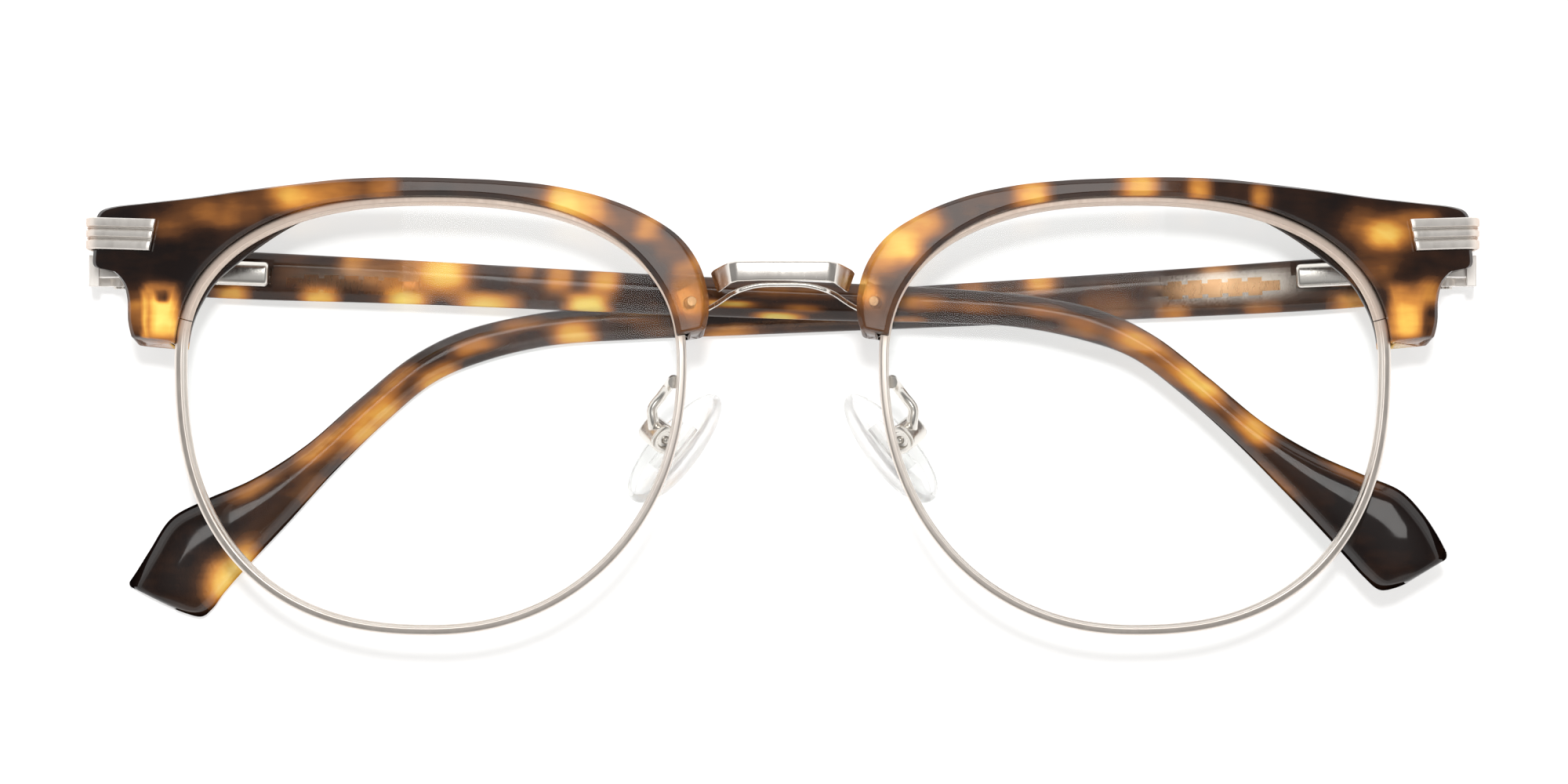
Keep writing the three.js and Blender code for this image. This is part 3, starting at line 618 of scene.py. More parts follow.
@dataclass(frozen=True)
class AcetateFinish:
    """Polished tortoise acetate: the tone at each point, broken up by cloudy edges, picks the colour.

    Light tones let more of what lies behind show through, as the real sheet does.
    """

    name: str = "tortoise_acetate"
    stops: tuple = (
        (0.0, (0.007, 0.004, 0.0035)), (0.22, (0.03, 0.012, 0.006)), (0.4, (0.115, 0.044, 0.015)),
        (0.55, (0.28, 0.105, 0.026)), (0.7, (0.52, 0.215, 0.042)), (0.85, (0.76, 0.44, 0.085)),
        (1.0, (0.9, 0.72, 0.19)),
    )
    tint_stops: tuple = (
        (0.0, (0.1, 0.05, 0.03)), (0.4, (0.5, 0.28, 0.14)), (0.7, (0.95, 0.64, 0.28)),
        (1.0, (1.0, 0.86, 0.42)),
    )
    pale: tuple[float, float, float] = (1.0, 0.95, 0.88)
    clearness: tuple[float, float] = (0.1, 0.5)
    edge_noise: float = 0.085

    def make(self) -> bpy.types.Material:
        """The material: a tinted Transparent shader mixed into a glossy Principled one by the tone."""
        book = NodeBook(self.name)
        tone = book.attribute("tone")
        cloud = book.ranged(book.noise(260.0, 2.0, (1.0, 0.7, 0.7)), -1.0, 1.0)
        fine = book.ranged(book.noise(900.0, 3.0, (0.22, 1.0, 0.8), (3.0, 1.0, 2.0)), -1.0, 1.0)
        shift = book.maths("ADD", book.maths("MULTIPLY", cloud, self.edge_noise),
                           book.maths("MULTIPLY", fine, self.edge_noise * 0.55))
        mottled = book.maths("ADD", tone, shift, clamp=True)
        colour = book.ramp(mottled, self.stops)
        tint = book.ramp(mottled, self.tint_stops)
        local = book.attribute("clear")
        clear = book.maths("ADD", book.ranged(mottled, *self.clearness, 0.2, 0.95), local, clamp=True)
        haze = book.ranged(book.noise(900.0, 3.0), 0.05, 0.11)
        wave = book.noise(210.0, 0.5, offset=(5.0, 2.0, 1.0))
        solid = book.add("ShaderNodeBsdfPrincipled", {
            "Base Color": colour, "Roughness": haze, "IOR": 1.46,
            "Normal": book.bump(wave, 0.012),
        })
        paler = book.maths("MULTIPLY", local, 1.7, clamp=True)
        tint = book.tinted(paler, tint, (*self.pale, 1))
        window = book.add("ShaderNodeBsdfTransparent", {"Color": tint})
        return book.blend(clear, solid, window)


@dataclass(frozen=True)
class LensFinish:
    """A clear coated lens: a faint mirror, stronger at a slant, over a faintly tinted opening."""

    name: str = "lens"
    tint: tuple[float, float, float] = (0.985, 0.99, 0.99)
    least_mirror: float = 0.004
    most_mirror: float = 0.6

    def make(self) -> bpy.types.Material:
        """The material: a smeared glossy shader mixed into a Transparent one by the slope's fifth power."""
        book = NodeBook(self.name)
        smear = book.ranged(book.noise(160.0, 3.0, (1.0, 0.35, 1.0)), 0.015, 0.05)
        gloss = book.add("ShaderNodeBsdfGlossy", {"Color": (0.92, 0.96, 1.0, 1), "Roughness": smear})
        window = book.add("ShaderNodeBsdfTransparent", {"Color": (*self.tint, 1)})
        slope = book.add("ShaderNodeLayerWeight", {"Blend": 0.5}).outputs["Facing"]
        share = book.maths("ADD", book.maths("MULTIPLY", book.maths("POWER", slope, 5.0), self.most_mirror),
                           self.least_mirror)
        return book.blend(share, window, gloss)


@dataclass(frozen=True)
class SiliconeFinish:
    """Clear soft silicone: refracting, with a faint cloud inside and a softly uneven surface."""

    name: str = "pad_silicone"
    least_clear: float = 0.45

    def make(self) -> bpy.types.Material:
        """The material: a refracting Principled shader that lets lamps through to what is behind it."""
        book = NodeBook(self.name)
        cloud = book.ranged(book.noise(380.0, 3.0), 0.02, 0.1)
        wave = book.noise(320.0, 1.0)
        tint = book.ramp(book.ranged(book.noise(200.0, 2.0), 0.0, 1.0),
                         [(0.0, (0.95, 0.955, 0.95)), (1.0, (0.99, 0.99, 0.985))])
        solid = book.add("ShaderNodeBsdfPrincipled", {
            "Base Color": tint, "Roughness": cloud, "IOR": 1.41, "Transmission Weight": 1.0,
            "Normal": book.bump(wave, 0.02),
        })
        window = book.add("ShaderNodeBsdfTransparent", {"Color": (0.975, 0.975, 0.97, 1)})
        path = book.add("ShaderNodeLightPath")
        share = book.maths("MAXIMUM", path.outputs["Is Shadow Ray"], self.least_clear)
        return book.blend(share, solid, window)


def all_finishes() -> dict[Slot, bpy.types.Material]:
    """One material for each of the record's slots."""
    silver = MetalFinish("silver_metal", (0.86, 0.825, 0.78), (0.78, 0.74, 0.69), (0.18, 0.28))
    return {
        Slot.SILVER: silver.make(),
        Slot.SCREW: MetalFinish("screw_steel", (0.72, 0.69, 0.65), (0.55, 0.52, 0.48), (0.22, 0.36)).make(),
        Slot.SPRING: MetalFinish("spring_steel", (0.55, 0.56, 0.58), (0.4, 0.4, 0.42), (0.2, 0.4)).make(),
        Slot.CORE: MetalFinish("core_wire", (0.95, 0.68, 0.45), (0.8, 0.5, 0.3), (0.22, 0.38), 0.01).make(),
        Slot.ACETATE: AcetateFinish().make(),
        Slot.LENS: LensFinish().make(),
        Slot.PAD: SiliconeFinish().make(),
    }


@dataclass(frozen=True)
class Patch:
    """A light or dark patch of the acetate: where it is, how far it reaches, and the tone at its middle.

    With a power of 3 its edge is soft; a high power gives it a straight edge.
    """

    x: float
    y: float
    reach_x: float
    reach_y: float
    tone: float
    power: float = 3.0


def patches(*rows: Sequence[float]) -> tuple[Patch, ...]:
    """Patches from rows of their numbers."""
    return tuple(Patch(*row) for row in rows)


def toned(x: Array, y: Array, ground: float, laid: Sequence[Patch]) -> Array:
    """The tone of the sheet: the ground, with each patch laid over it by a flat-topped bell.

    Args:
        x: First coordinate of each point.
        y: Second coordinate of each point.
        ground: Tone where no patch reaches.
        laid: Patches, the later ones on top.

    Returns:
        The tone at each point.
    """
    tone = np.full(np.broadcast(x, y).shape, ground)
    for patch in laid:
        aside, above = np.abs((x - patch.x) / patch.reach_x), np.abs((y - patch.y) / patch.reach_y)
        tone = tone + (patch.tone - tone) * np.exp(-(aside ** patch.power + above ** patch.power))
    return tone


# ---------------------------------------------------------------- the front


@dataclass(frozen=True)
class FrontShape:
    """The curved front: each half is bent to a sphere that is turned outwards, and holds one eyewire."""

    lens_x: float = 35.0
    line_y: float = -0.92
    radius: float = 130.0
    wrap: float = math.radians(5)
    front_z: float = 20.0
    half_width: float = 25.5
    waist_y: float = 5.2
    rise: float = 16.8
    fall: float = 27.05
    powers: tuple[float, float, float, float] = (2.35, 2.4, 2.12, 2.4)
    split_y: float = 9.7

    def place(self, side: Side) -> Place:
        """Maps x from the lens centre outwards, y up and t forward of the wire's front to a point."""
        centre_x, centre_z = -self.radius * math.sin(self.wrap), -self.radius * math.cos(self.wrap)

        def at(x: Array, y: Array, t: Array) -> Array:
            """The point on the sphere under (x, y), moved along the sphere's normal by t."""
            reach = np.sqrt(self.radius ** 2 - (x - centre_x) ** 2 - y ** 2)
            grow = 1 + t / self.radius
            return np.stack([
                side.value * (self.lens_x + centre_x + (x - centre_x) * grow),
                y * grow + self.line_y,
                self.front_z + centre_z + reach * grow,
            ], axis=-1)

        return at

    def rim(self, angle: Array) -> Array:
        """Outer outline of the eyewire: a superellipse about its widest line, with four powers."""
        c, s = np.cos(angle), np.sin(angle)
        upper_out, upper_in, lower_in, lower_out = self.powers
        power = np.where(s >= 0, np.where(c >= 0, upper_out, upper_in),
                         np.where(c >= 0, lower_out, lower_in))
        height = np.where(s >= 0, self.rise, self.fall)
        reach = ((np.abs(c) / self.half_width) ** power + (np.abs(s) / height) ** power) ** (-1 / power)
        return np.stack([reach * c, self.waist_y + reach * s], axis=-1)

    def rim_offset(self, angle: Array, out: Array | float) -> Array:
        """The outline moved out along its normal."""
        step = 1e-3
        along = unit(self.rim(angle + step) - self.rim(angle - step))
        normal = np.stack([along[..., 1], -along[..., 0]], axis=-1)
        return self.rim(angle) + normal * (out if np.isscalar(out) else out[..., None])


@dataclass
class Eyewires:
    """The two metal eyewires, with their lenses, closing blocks and rim screws."""

    shop: Workshop
    shape: FrontShape
    width: float = 0.85
    depth: float = 1.9
    groove: float = 0.25
    stations: int = 460
    half_split: float = 0.002
    split_x: float = 24.9
    # share of painted shade on the bare wire
    bare_painted_shade: float = 0.3

    def build(self) -> None:
        """Builds the pieces of both sides."""
        for side in Side:
            self._wire(side)
            self._lens(side)
            for level in ("upper", "lower"):
                node = f"closing_block_{level}_{side.label}"
                self.shop.eased(f"rim_{level}_block_{side.label}", node, Slot.SILVER, "front", 0.12)
            name, node = f"rim_closing_screw_{side.label}", f"rim_screw_{side.label}"
            self.shop.eased(name, node, Slot.SCREW, "front", 0.05)

    def _wire(self, side: Side) -> None:
        """An open ring of a rounded bar with a V groove inside, ended at the split.

        Under the brow it carries painted shade, tinted amber by the acetate above it, which rises over a few
        degrees from a smaller even share on the bare part.
        """
        wall = 0.18
        middle = self.depth / 2
        section = Section([
            Corner(1, 0, radius=0.34), Corner(1, 1, radius=0.34), Corner(0, 1, radius=wall),
            Corner(0, 0.5, 0, middle - 0.5, 0.05), Corner(0, 0.5, self.groove, 0, 0.08),
            Corner(0, 0.5, 0, 0.5 - middle, 0.05), Corner(0, 0, radius=wall),
        ], nominal=(self.width, self.depth, 0.0, 0.0), edge_steps=3)
        split = math.atan2(self.shape.split_y - self.shape.waist_y, self.split_x)
        angle = split + np.linspace(self.half_split, 2 * math.pi - self.half_split, self.stations)
        ones = np.ones(self.stations)
        flat = section.points(ones * self.width, ones * self.depth)
        out = flat[..., 0] - self.width
        xy = self.shape.rim_offset(np.broadcast_to(angle[:, None], out.shape), out)
        rings = self.shape.place(side)(xy[..., 0], xy[..., 1], flat[..., 1] - self.depth)
        # painted shade: full under the brow, with a smaller even share on the bare wire
        degrees = np.degrees((angle + math.pi / 2) % (2 * math.pi)) - 90
        covered = np.clip((degrees - 3) / 5, 0, 1) * np.clip((176 - degrees) / 4, 0, 1)
        warm = self.bare_painted_shade + (1 - self.bare_painted_shade) * covered
        surface = swept(rings, {"warm": warm[:, None]})
        self.shop.piece(f"wire_rim_{side.label}", surface, Slot.SILVER, "front", f"eyewire_{side.label}")

    def _lens(self, side: Side) -> None:
        """A meniscus: rings grow from the front's middle to the bevelled edge, then shrink to the back's."""
        edge = np.array([[-0.875, -0.42], [-0.72, -0.82], [-0.68, -0.95], [-0.72, -1.08], [-0.875, -1.48]])
        share = np.linspace(0.04, 1.0, 26)[:-1]
        scale = np.concatenate([share, np.ones(len(edge)), share[::-1]])
        table = np.repeat(edge, [len(share) + 1, 1, 1, 1, len(share) + 1], axis=0)
        angle = np.broadcast_to(full_turn(200), (len(table), 200))
        xy = self.shape.rim_offset(angle, np.broadcast_to(table[:, :1], angle.shape)) * scale[:, None, None]
        place = self.shape.place(side)
        rings = place(xy[..., 0], xy[..., 1], np.broadcast_to(table[:, 1:], angle.shape))
        front, back = (spot(place, 0.0, 0.0, t) for t in (edge[0, 1], edge[-1, 1]))
        surface = capped_by_poles(rings, front, back)
        self.shop.piece(f"clear_lens_{side.label}", surface, Slot.LENS, "front", f"lens_{side.label}")


BROW_PATCHES: dict[Side, tuple[Patch, ...]] = {
    Side.RIGHT: patches(
        (9.2, 10.6, 3.6, 4.0, 0.42), (9.3, 12.0, 1.9, 1.9, 0.7, 4), (9.4, 15.0, 1.8, 1.3, 0.66),
        (11.0, 16.4, 2.2, 1.5, 0.4), (13.6, 18.7, 1.8, 1.6, 0.64), (16.1, 19.5, 1.7, 2.0, 0.36),
        (18.8, 20.5, 1.7, 2.0, 0.7), (21.6, 21.1, 2.6, 2.1, 0.98), (31.0, 23.0, 7.0, 2.6, 0.2),
        (39.6, 22.4, 1.8, 1.9, 0.56), (44.0, 22.0, 3.0, 1.9, 0.6), (48.6, 21.7, 3.2, 1.7, 0.8),
        (53.4, 20.4, 3.0, 1.7, 0.36), (56.6, 20.1, 3.6, 1.6, 0.5), (61.2, 18.4, 2.6, 1.6, 0.42),
        (66.0, 19.8, 3.0, 1.6, 0.06), (61.0, 15.1, 6.6, 2.5, 0.0), (64.0, 10.2, 1.3, 2.2, 0.42),
        (64.1, 10.8, 0.8, 0.6, 0.6), (61.4, 10.2, 1.9, 2.9, 0.62, 8), (61.5, 12.3, 1.7, 1.0, 0.5),
        (61.2, 9.9, 1.3, 2.2, 1.0, 4), (63.1, 9.8, 0.3, 2.4, 0.8, 4), (61.4, 6.9, 3.2, 0.55, 0.84, 4),
        (61.3, 11.8, 0.6, 0.6, 0.32, 4),
    ),
    Side.LEFT: patches(
        (9.2, 10.2, 3.4, 3.2, 0.42), (8.3, 12.7, 1.4, 1.7, 0.72), (9.4, 14.8, 2.0, 1.3, 0.48),
        (11.6, 17.0, 2.8, 2.3, 0.95), (14.2, 19.2, 2.6, 1.8, 0.76), (19.5, 20.6, 3.5, 2.4, 0.3),
        (24.8, 21.8, 2.4, 2.0, 0.8), (30.0, 22.8, 3.2, 2.2, 0.18), (35.3, 22.6, 2.4, 2.0, 0.78),
        (38.6, 22.4, 1.1, 2.0, 0.3), (41.3, 22.2, 1.6, 2.0, 0.72), (44.6, 22.0, 1.8, 2.0, 0.18),
        (47.4, 21.4, 1.2, 1.7, 0.7), (52.0, 20.0, 3.6, 3.0, 0.04), (56.6, 19.0, 2.0, 1.7, 0.34),
        (60.2, 17.9, 3.4, 2.2, 0.6), (59.8, 17.9, 1.9, 1.3, 0.94), (62.8, 19.4, 2.4, 0.9, 0.56),
        (58.6, 14.6, 2.4, 1.7, 0.4), (65.2, 15.6, 3.2, 1.6, 0.12), (63.9, 12.2, 1.2, 1.5, 0.68),
        (61.7, 10.4, 1.9, 2.9, 0.6, 8), (61.9, 9.6, 1.3, 2.0, 0.84, 4), (64.2, 8.6, 0.7, 1.4, 0.36),
        (61.4, 6.9, 3.2, 0.55, 0.88, 4),
    ),
}
BROW_CLEAR: tuple[Patch, ...] = (Patch(9.3, 11.6, 2.4, 2.4, 0.32), Patch(61.4, 10.0, 2.1, 3.2, -0.4, 6))


@dataclass
class Brows:
    """The acetate brows over the upper half of each eyewire, with the screws that hold them."""

    shop: Workshop
    shape: FrontShape
    front: float = 1.0
    back: float = -3.0
    gap: float = 0.3
    lip_least: float = 0.6
    lip_corner: float = 1.1
    lip_at: float = 33.0
    lip_spread: float = 16.0
    cover_least: float = 0.38
    end_radius: float = 0.25
    end_slant: float = 0.8
    end_reach: float = 3.2
    slant_from: float = 1.5
    ground: float = 0.1
    stations: int = 430
    # each rise of the cover: how much, from which angle on the eyewire in degrees, and over how many
    cover_rises: tuple = ((0.16, 12, 33), (0.66, 126, 34))
    # angle on the eyewire in degrees, and the matching point of the outer edge
    ribs: tuple = (
        (174.5, -27.3, 7.9), (171, -27.6, 9.8), (166, -27.5, 12.2), (160, -26.6, 15.1), (153, -24.6, 17.8),
        (145, -21.2, 20.0), (136, -16.9, 21.7), (125, -11.9, 22.8), (113, -7.0, 23.3), (100, -2.8, 23.5),
        (88, 0.9, 23.6), (76, 4.6, 23.6), (65, 9.0, 23.4), (56, 13.6, 22.9), (48, 18.6, 22.3),
        (41, 23.6, 21.6), (35, 28.2, 21.1), (30, 31.6, 20.7), (27, 32.8, 20.2), (25, 33.2, 19.3),
        (21, 33.4, 16.5), (18, 33.3, 14.8), (15.5, 31.7, 14.5), (13, 30.5, 13.3), (10.5, 30.0, 11.6),
        (7.5, 29.95, 9.4), (5.5, 29.8, 8.2), (3.4, 29.6, 7.1),
    )

    def build(self) -> None:
        """Builds the pieces of both sides."""
        for side in Side:
            self._brow(side)
            for end in ("outer", "inner"):
                node = f"brow_screw_{end}_{side.label}"
                self.shop.eased(f"brow_{end}_screw_{side.label}", node, Slot.SCREW, "front", 0.07)
            name, node = f"bridge_lug_plate_{side.label}", f"bridge_lug_{side.label}"
            self.shop.eased(name, node, Slot.SILVER, "front", 0.1)

    def _section(self) -> Section:
        """Front bevels on both edges, a cover over the wire's outer part, and a lip that runs behind it."""
        bevel, lip_front, undercut = 0.5, 0.8, 0.05 - self.front
        return Section([
            Corner(0, 0, -self.gap, 0, 0.25, -1), Corner(1, 0, -0.4, 0, 0.2), Corner(1, 0, 0, 0.4, 0.3),
            Corner(1, 1, 0, -bevel, 0.18), Corner(1, 1, -bevel, 0, 0.12),
            Corner(0, 1, 0.4, 0, 0.15, 0, -1), Corner(0, 1, 0, -0.4, 0.15, 0, -1),
            Corner(0, 1, 0, undercut, 0.06, 0, -1), Corner(0, 1, 0, undercut, 0.02),
            Corner(0, 0, 0, lip_front, 0.1), Corner(0, 0, -self.gap, lip_front, 0.25, -1),
        ], nominal=(5.0, self.front - self.back, 0.9, 0.5), edge_steps=9)

    def _cover(self, degrees: Array) -> Array:
        """Reach of the acetate over the wire: least at the outer corner, and over all of it at the nose."""
        rises = (rise * smooth((degrees - start) / run) for rise, start, run in self.cover_rises)
        return sum(rises, self.cover_least)

    def _brow(self, side: Side) -> None:
        """Carries the section along the wire, between the wire's outline and the smooth outer edge.

        Near both ends a point is moved along the brow by its height above the wire's back, so that the
        end faces slope from the back edge up to the shorter front.
        """
        curve = centripetal_curve(self.ribs, 2400) * [math.radians(1), 1, 1]
        middle = (self.shape.rim_offset(curve[:, 0], self.gap) + curve[:, 1:]) / 2
        steps = distances(middle)
        length = float(steps[-1])
        at, inset = rounded_ends(length, self.end_radius, self.stations)
        angle, outer_x, outer_y = (np.interp(at, steps, column) for column in curve.T)
        outer = np.stack([outer_x, outer_y], axis=1)
        width = np.linalg.norm(outer - self.shape.rim_offset(angle, self.gap), axis=1)
        degrees = np.degrees(angle)
        lip = self.lip_least + self.lip_corner * np.exp(-(((degrees - self.lip_at) / self.lip_spread) ** 2))
        full = np.full_like(width, self.front - self.back)
        flat = self._section().points(width, full, inset, lip, self._cover(degrees))
        rise = np.clip((flat[..., 1] - self.slant_from) / (self.front - self.back - self.slant_from), 0, 1)
        near_start = np.clip(1 - at / self.end_reach, 0, 1)[:, None] ** 2
        near_end = np.clip(1 - (length - at) / self.end_reach, 0, 1)[:, None] ** 2
        moved = at[:, None] + self.end_slant * rise * (near_start - near_end)
        angle, outer_x, outer_y = (np.interp(moved, steps, column) for column in curve.T)
        inner = self.shape.rim_offset(angle, self.gap)
        outer = np.stack([outer_x, outer_y], axis=-1)
        xy = inner + unit(outer - inner) * flat[..., :1]
        rings = self.shape.place(side)(xy[..., 0], xy[..., 1], flat[..., 1] + self.back)
        x, y = xy[..., 0] + self.shape.lens_x, xy[..., 1]
        tone = toned(x, y, self.ground, BROW_PATCHES[side])
        surface = swept(rings, {"tone": tone, "clear": toned(x, y, 0.0, BROW_CLEAR)})
        self.shop.piece(f"acetate_brow_{side.label}", surface, Slot.ACETATE, "front", f"brow_{side.label}")


@dataclass
class Bridge:
    """The metal bridge: a bright bar with side facets, and the thin arch under it."""

    shop: Workshop
    shape: FrontShape
    front: float = 21.4
    curve: float = 0.014
    depth: float = 1.5
    lean: float = 0.06
    dome: float = 0.07
    set_back: float = 0.16
    end_inset: float = 0.22
    end_stations: int = 4
    strip: float = 0.45
    strip_depths: tuple[float, float] = (2.2, 0.8)
    strip_turn: tuple[float, float] = (4.2, 3.2)
    strip_back: tuple[float, float] = (0.35, 3.6)
    # for each rib: distance from the middle and height, at the top and the bottom edge, and how far the face
    # falls back
    bar_ribs: tuple = (
        (0.0, 15.38, 0.0, 13.42, 0.0), (2.4, 15.38, 2.3, 13.42, 0.0), (4.7, 15.36, 4.5, 13.34, 0.0),
        (5.4, 15.22, 5.1, 13.16, 0.1), (5.7, 15.12, 5.35, 13.0, 0.35), (6.4, 14.75, 5.9, 12.6, 1.0),
        (7.2, 14.3, 6.45, 12.15, 1.6),
    )
    arch: tuple = (
        (0.0, 13.25), (2.4, 13.18), (4.0, 12.8), (5.2, 12.3), (6.1, 11.7), (6.8, 11.25), (7.6, 10.8),
    )

    def build(self) -> None:
        """Builds the bar and the arch."""
        self._bar()
        self._arch()

    def _mirrored(self, ribs: Sequence[Sequence[float]], signs: Sequence[int]) -> Array:
        """Ribs from the far right, through the middle, to the far left, with the named columns negated."""
        right = np.array(ribs, float)
        return np.vstack([(right[1:] * signs)[::-1], right])

    def _face(self, xy: Array) -> Array:
        """Height of the bridge's face: it falls with the square of the distance from the middle."""
        return self.front - self.curve * xy[..., 0] ** 2

    def _bar(self) -> None:
        """Carries a rounded slab across the nose; its sides fall back and its domed face leans to the top."""
        ribs = self._mirrored(self.bar_ribs, (-1, 1, -1, 1, 1))
        fine = evenly(ribs, np.linspace(0, 1, 120))
        top, bottom, fall = fine[:, :2], fine[:, 2:4], fine[:, 4]
        width = np.linalg.norm(top - bottom, axis=1)
        inset = self.end_inset * np.clip(1 - from_ends(len(fine)) / self.end_stations, 0, 1) ** 2
        section = slab(0.2, edge_steps=5)
        depth = np.full_like(width, self.depth)
        flat = section.points(width, depth, inset)
        xy = bottom[:, None] + ((top - bottom) / width[:, None])[:, None] * flat[..., :1]
        share = flat[..., 0] / width[:, None]
        crown = self.lean * np.clip(1 - share, 0, 1) + self.dome * np.clip(1 - (2 * share - 1) ** 2, 0, 1)
        crown = np.where(flat[..., 1] > self.depth / 2, crown, 0.0)
        z = self._face(xy) - fall[:, None] + flat[..., 1] - self.depth + crown - self.set_back
        rings = np.stack([xy[..., 0], xy[..., 1] + self.shape.line_y, z], axis=-1)
        self.shop.piece("bridge_plate", swept(rings), Slot.SILVER, "front", "bridge_bar")

    def _arch(self) -> None:
        """Carries a thin rounded strip along an arch; its ends run back to the lugs and grow slimmer."""
        line = centripetal_curve(self._mirrored(self.arch, (-1, 1)), 160)
        start, run = self.strip_turn
        back = smooth((np.abs(line[:, 0]) - start) / run)
        deep, slim = self.strip_depths
        depth = deep + (slim - deep) * back
        thickness = np.full_like(depth, self.strip)
        along = unit(np.gradient(line, axis=0))
        normal = np.stack([-along[:, 1], along[:, 0]], axis=1)
        section = Section([Corner(0, 0, radius=0.12), Corner(1, 0, radius=0.12), Corner(1, 1, radius=0.2),
                           Corner(0, 1, radius=0.2)], nominal=(self.strip, 1.5, 0.0, 0.0), edge_steps=4)
        flat = section.points(thickness, depth)
        xy = line[:, None] + normal[:, None] * (flat[..., :1] - self.strip)
        behind, further = self.strip_back
        z = self._face(xy) - behind - further * back[:, None] + flat[..., 1] - depth[:, None]
        rings = np.stack([xy[..., 0], xy[..., 1] + self.shape.line_y, z], axis=-1)
        self.shop.piece("bridge_strip", swept(rings), Slot.SILVER, "front", "bridge_arch")


@dataclass
class Corners:
    """The outer corners: the ribbed clasp, the endpiece with its leg and knuckles, and the hinge screw."""

    shop: Workshop
    shape: FrontShape
    low: float = 16.45
    high: float = 19.55
    web: float = 0.12
    rib: float = 0.46
    front: float = 1.3
    inner_x: float = 26.9
    side_x: float = 33.6
    bend: float = 0.9
    back: float = -2.9
    slant: float = 0.2
    slant_run: float = 3.1
    droop: float = 0.03
    end_share: float = 0.8
    # length over which the painted shade on the clasp's side rises
    painted_shade_run: float = 1.1

    def build(self) -> None:
        """Builds the pieces of both sides."""
        for side in Side:
            self._clasp(side)
            shop, label = self.shop, side.label
            shop.eased(f"hinge_endpiece_{label}", f"endpiece_{label}", Slot.SILVER, "front", 0.16, shop.satin)
            shop.eased(f"hinge_pin_{label}", f"hinge_screw_{label}", Slot.SCREW, "front", 0.1)

    def _profile(self) -> Array:
        """Height across the band and its thickness there: three broad ribs with a thin bead between them."""
        ribs = ((0.0, 0.93), (1.02, 1.1), (1.19, 1.93), (2.02, 2.1), (2.19, 3.1))
        rows: list[tuple[float, float]] = []
        for start, end in ribs:
            wide = end - start > 0.5
            ease, top = (0.1, self.rib) if wide else (0.03, self.rib - 0.06)
            rows += [(start, self.web), (start + 0.02, top - ease), (start + ease, top)]
            rows += [(start + 0.3, top + 0.03), (end - 0.3, top + 0.03)] if wide else []
            rows += [(end - ease, top), (end - 0.02, top - ease), (end, self.web)]
        return np.array(rows)

    def _clasp(self, side: Side) -> None:
        """Carries the ribbed profile over the corner's front, round the bend and back along the side.

        The path lies in the plane of x and t. Its outward normal turns through a right angle in the bend,
        and each profile point stands off the path by its thickness. The inner end is cut at a slant.
        """
        turn = np.linspace(0, math.pi / 2, 14)
        straight = np.linspace(self.inner_x, self.side_x - self.bend, 26)[:-1]
        down = np.linspace(self.front - self.bend, self.back, 16)[1:]
        path = np.concatenate([
            np.stack([straight, np.full_like(straight, self.front)], 1),
            np.stack([self.side_x - self.bend + self.bend * np.sin(turn),
                      self.front - self.bend + self.bend * np.cos(turn)], 1),
            np.stack([np.full_like(down, self.side_x), down], 1),
        ])
        facing = np.concatenate([np.zeros_like(straight), turn, np.full_like(down, math.pi / 2)])
        normal = np.stack([np.sin(facing), np.cos(facing)], 1)
        outer = self._profile()
        inner = np.stack([outer[::-1, 0], np.zeros(len(outer))], 1)
        section = np.vstack([outer, inner])
        stand = section[None, :, 1] + 0 * path[:, :1]
        stand = stand * np.where(from_ends(len(path))[:, None] < 1, self.end_share, 1.0)
        y = self.low + section[None, :, 0] + 0 * path[:, :1]
        near = np.clip((self.inner_x + self.slant_run - path[:, :1]) / self.slant_run, 0, 1)
        slant = self.slant * (self.high - y) * near
        y = y - self.droop * (self.side_x - path[:, :1])
        x = path[:, :1] + normal[:, :1] * stand + slant
        t = path[:, 1:] + normal[:, 1:] * stand
        # painted shade: the band turns darker and amber round the bend and along the side, where it faces
        # away from the light
        warm = 0.9 * np.clip((path[:, :1] - (self.side_x - self.painted_shade_run)) / self.painted_shade_run, 0, 1)
        surface = swept(self.shape.place(side)(x, y, t), {"warm": warm})
        name, node = f"ribbed_clasp_{side.label}", f"corner_clasp_{side.label}"
        self.shop.piece(name, surface, Slot.SILVER, "front", node, finish=self.shop.satin)


# ---------------------------------------------------------------- temples


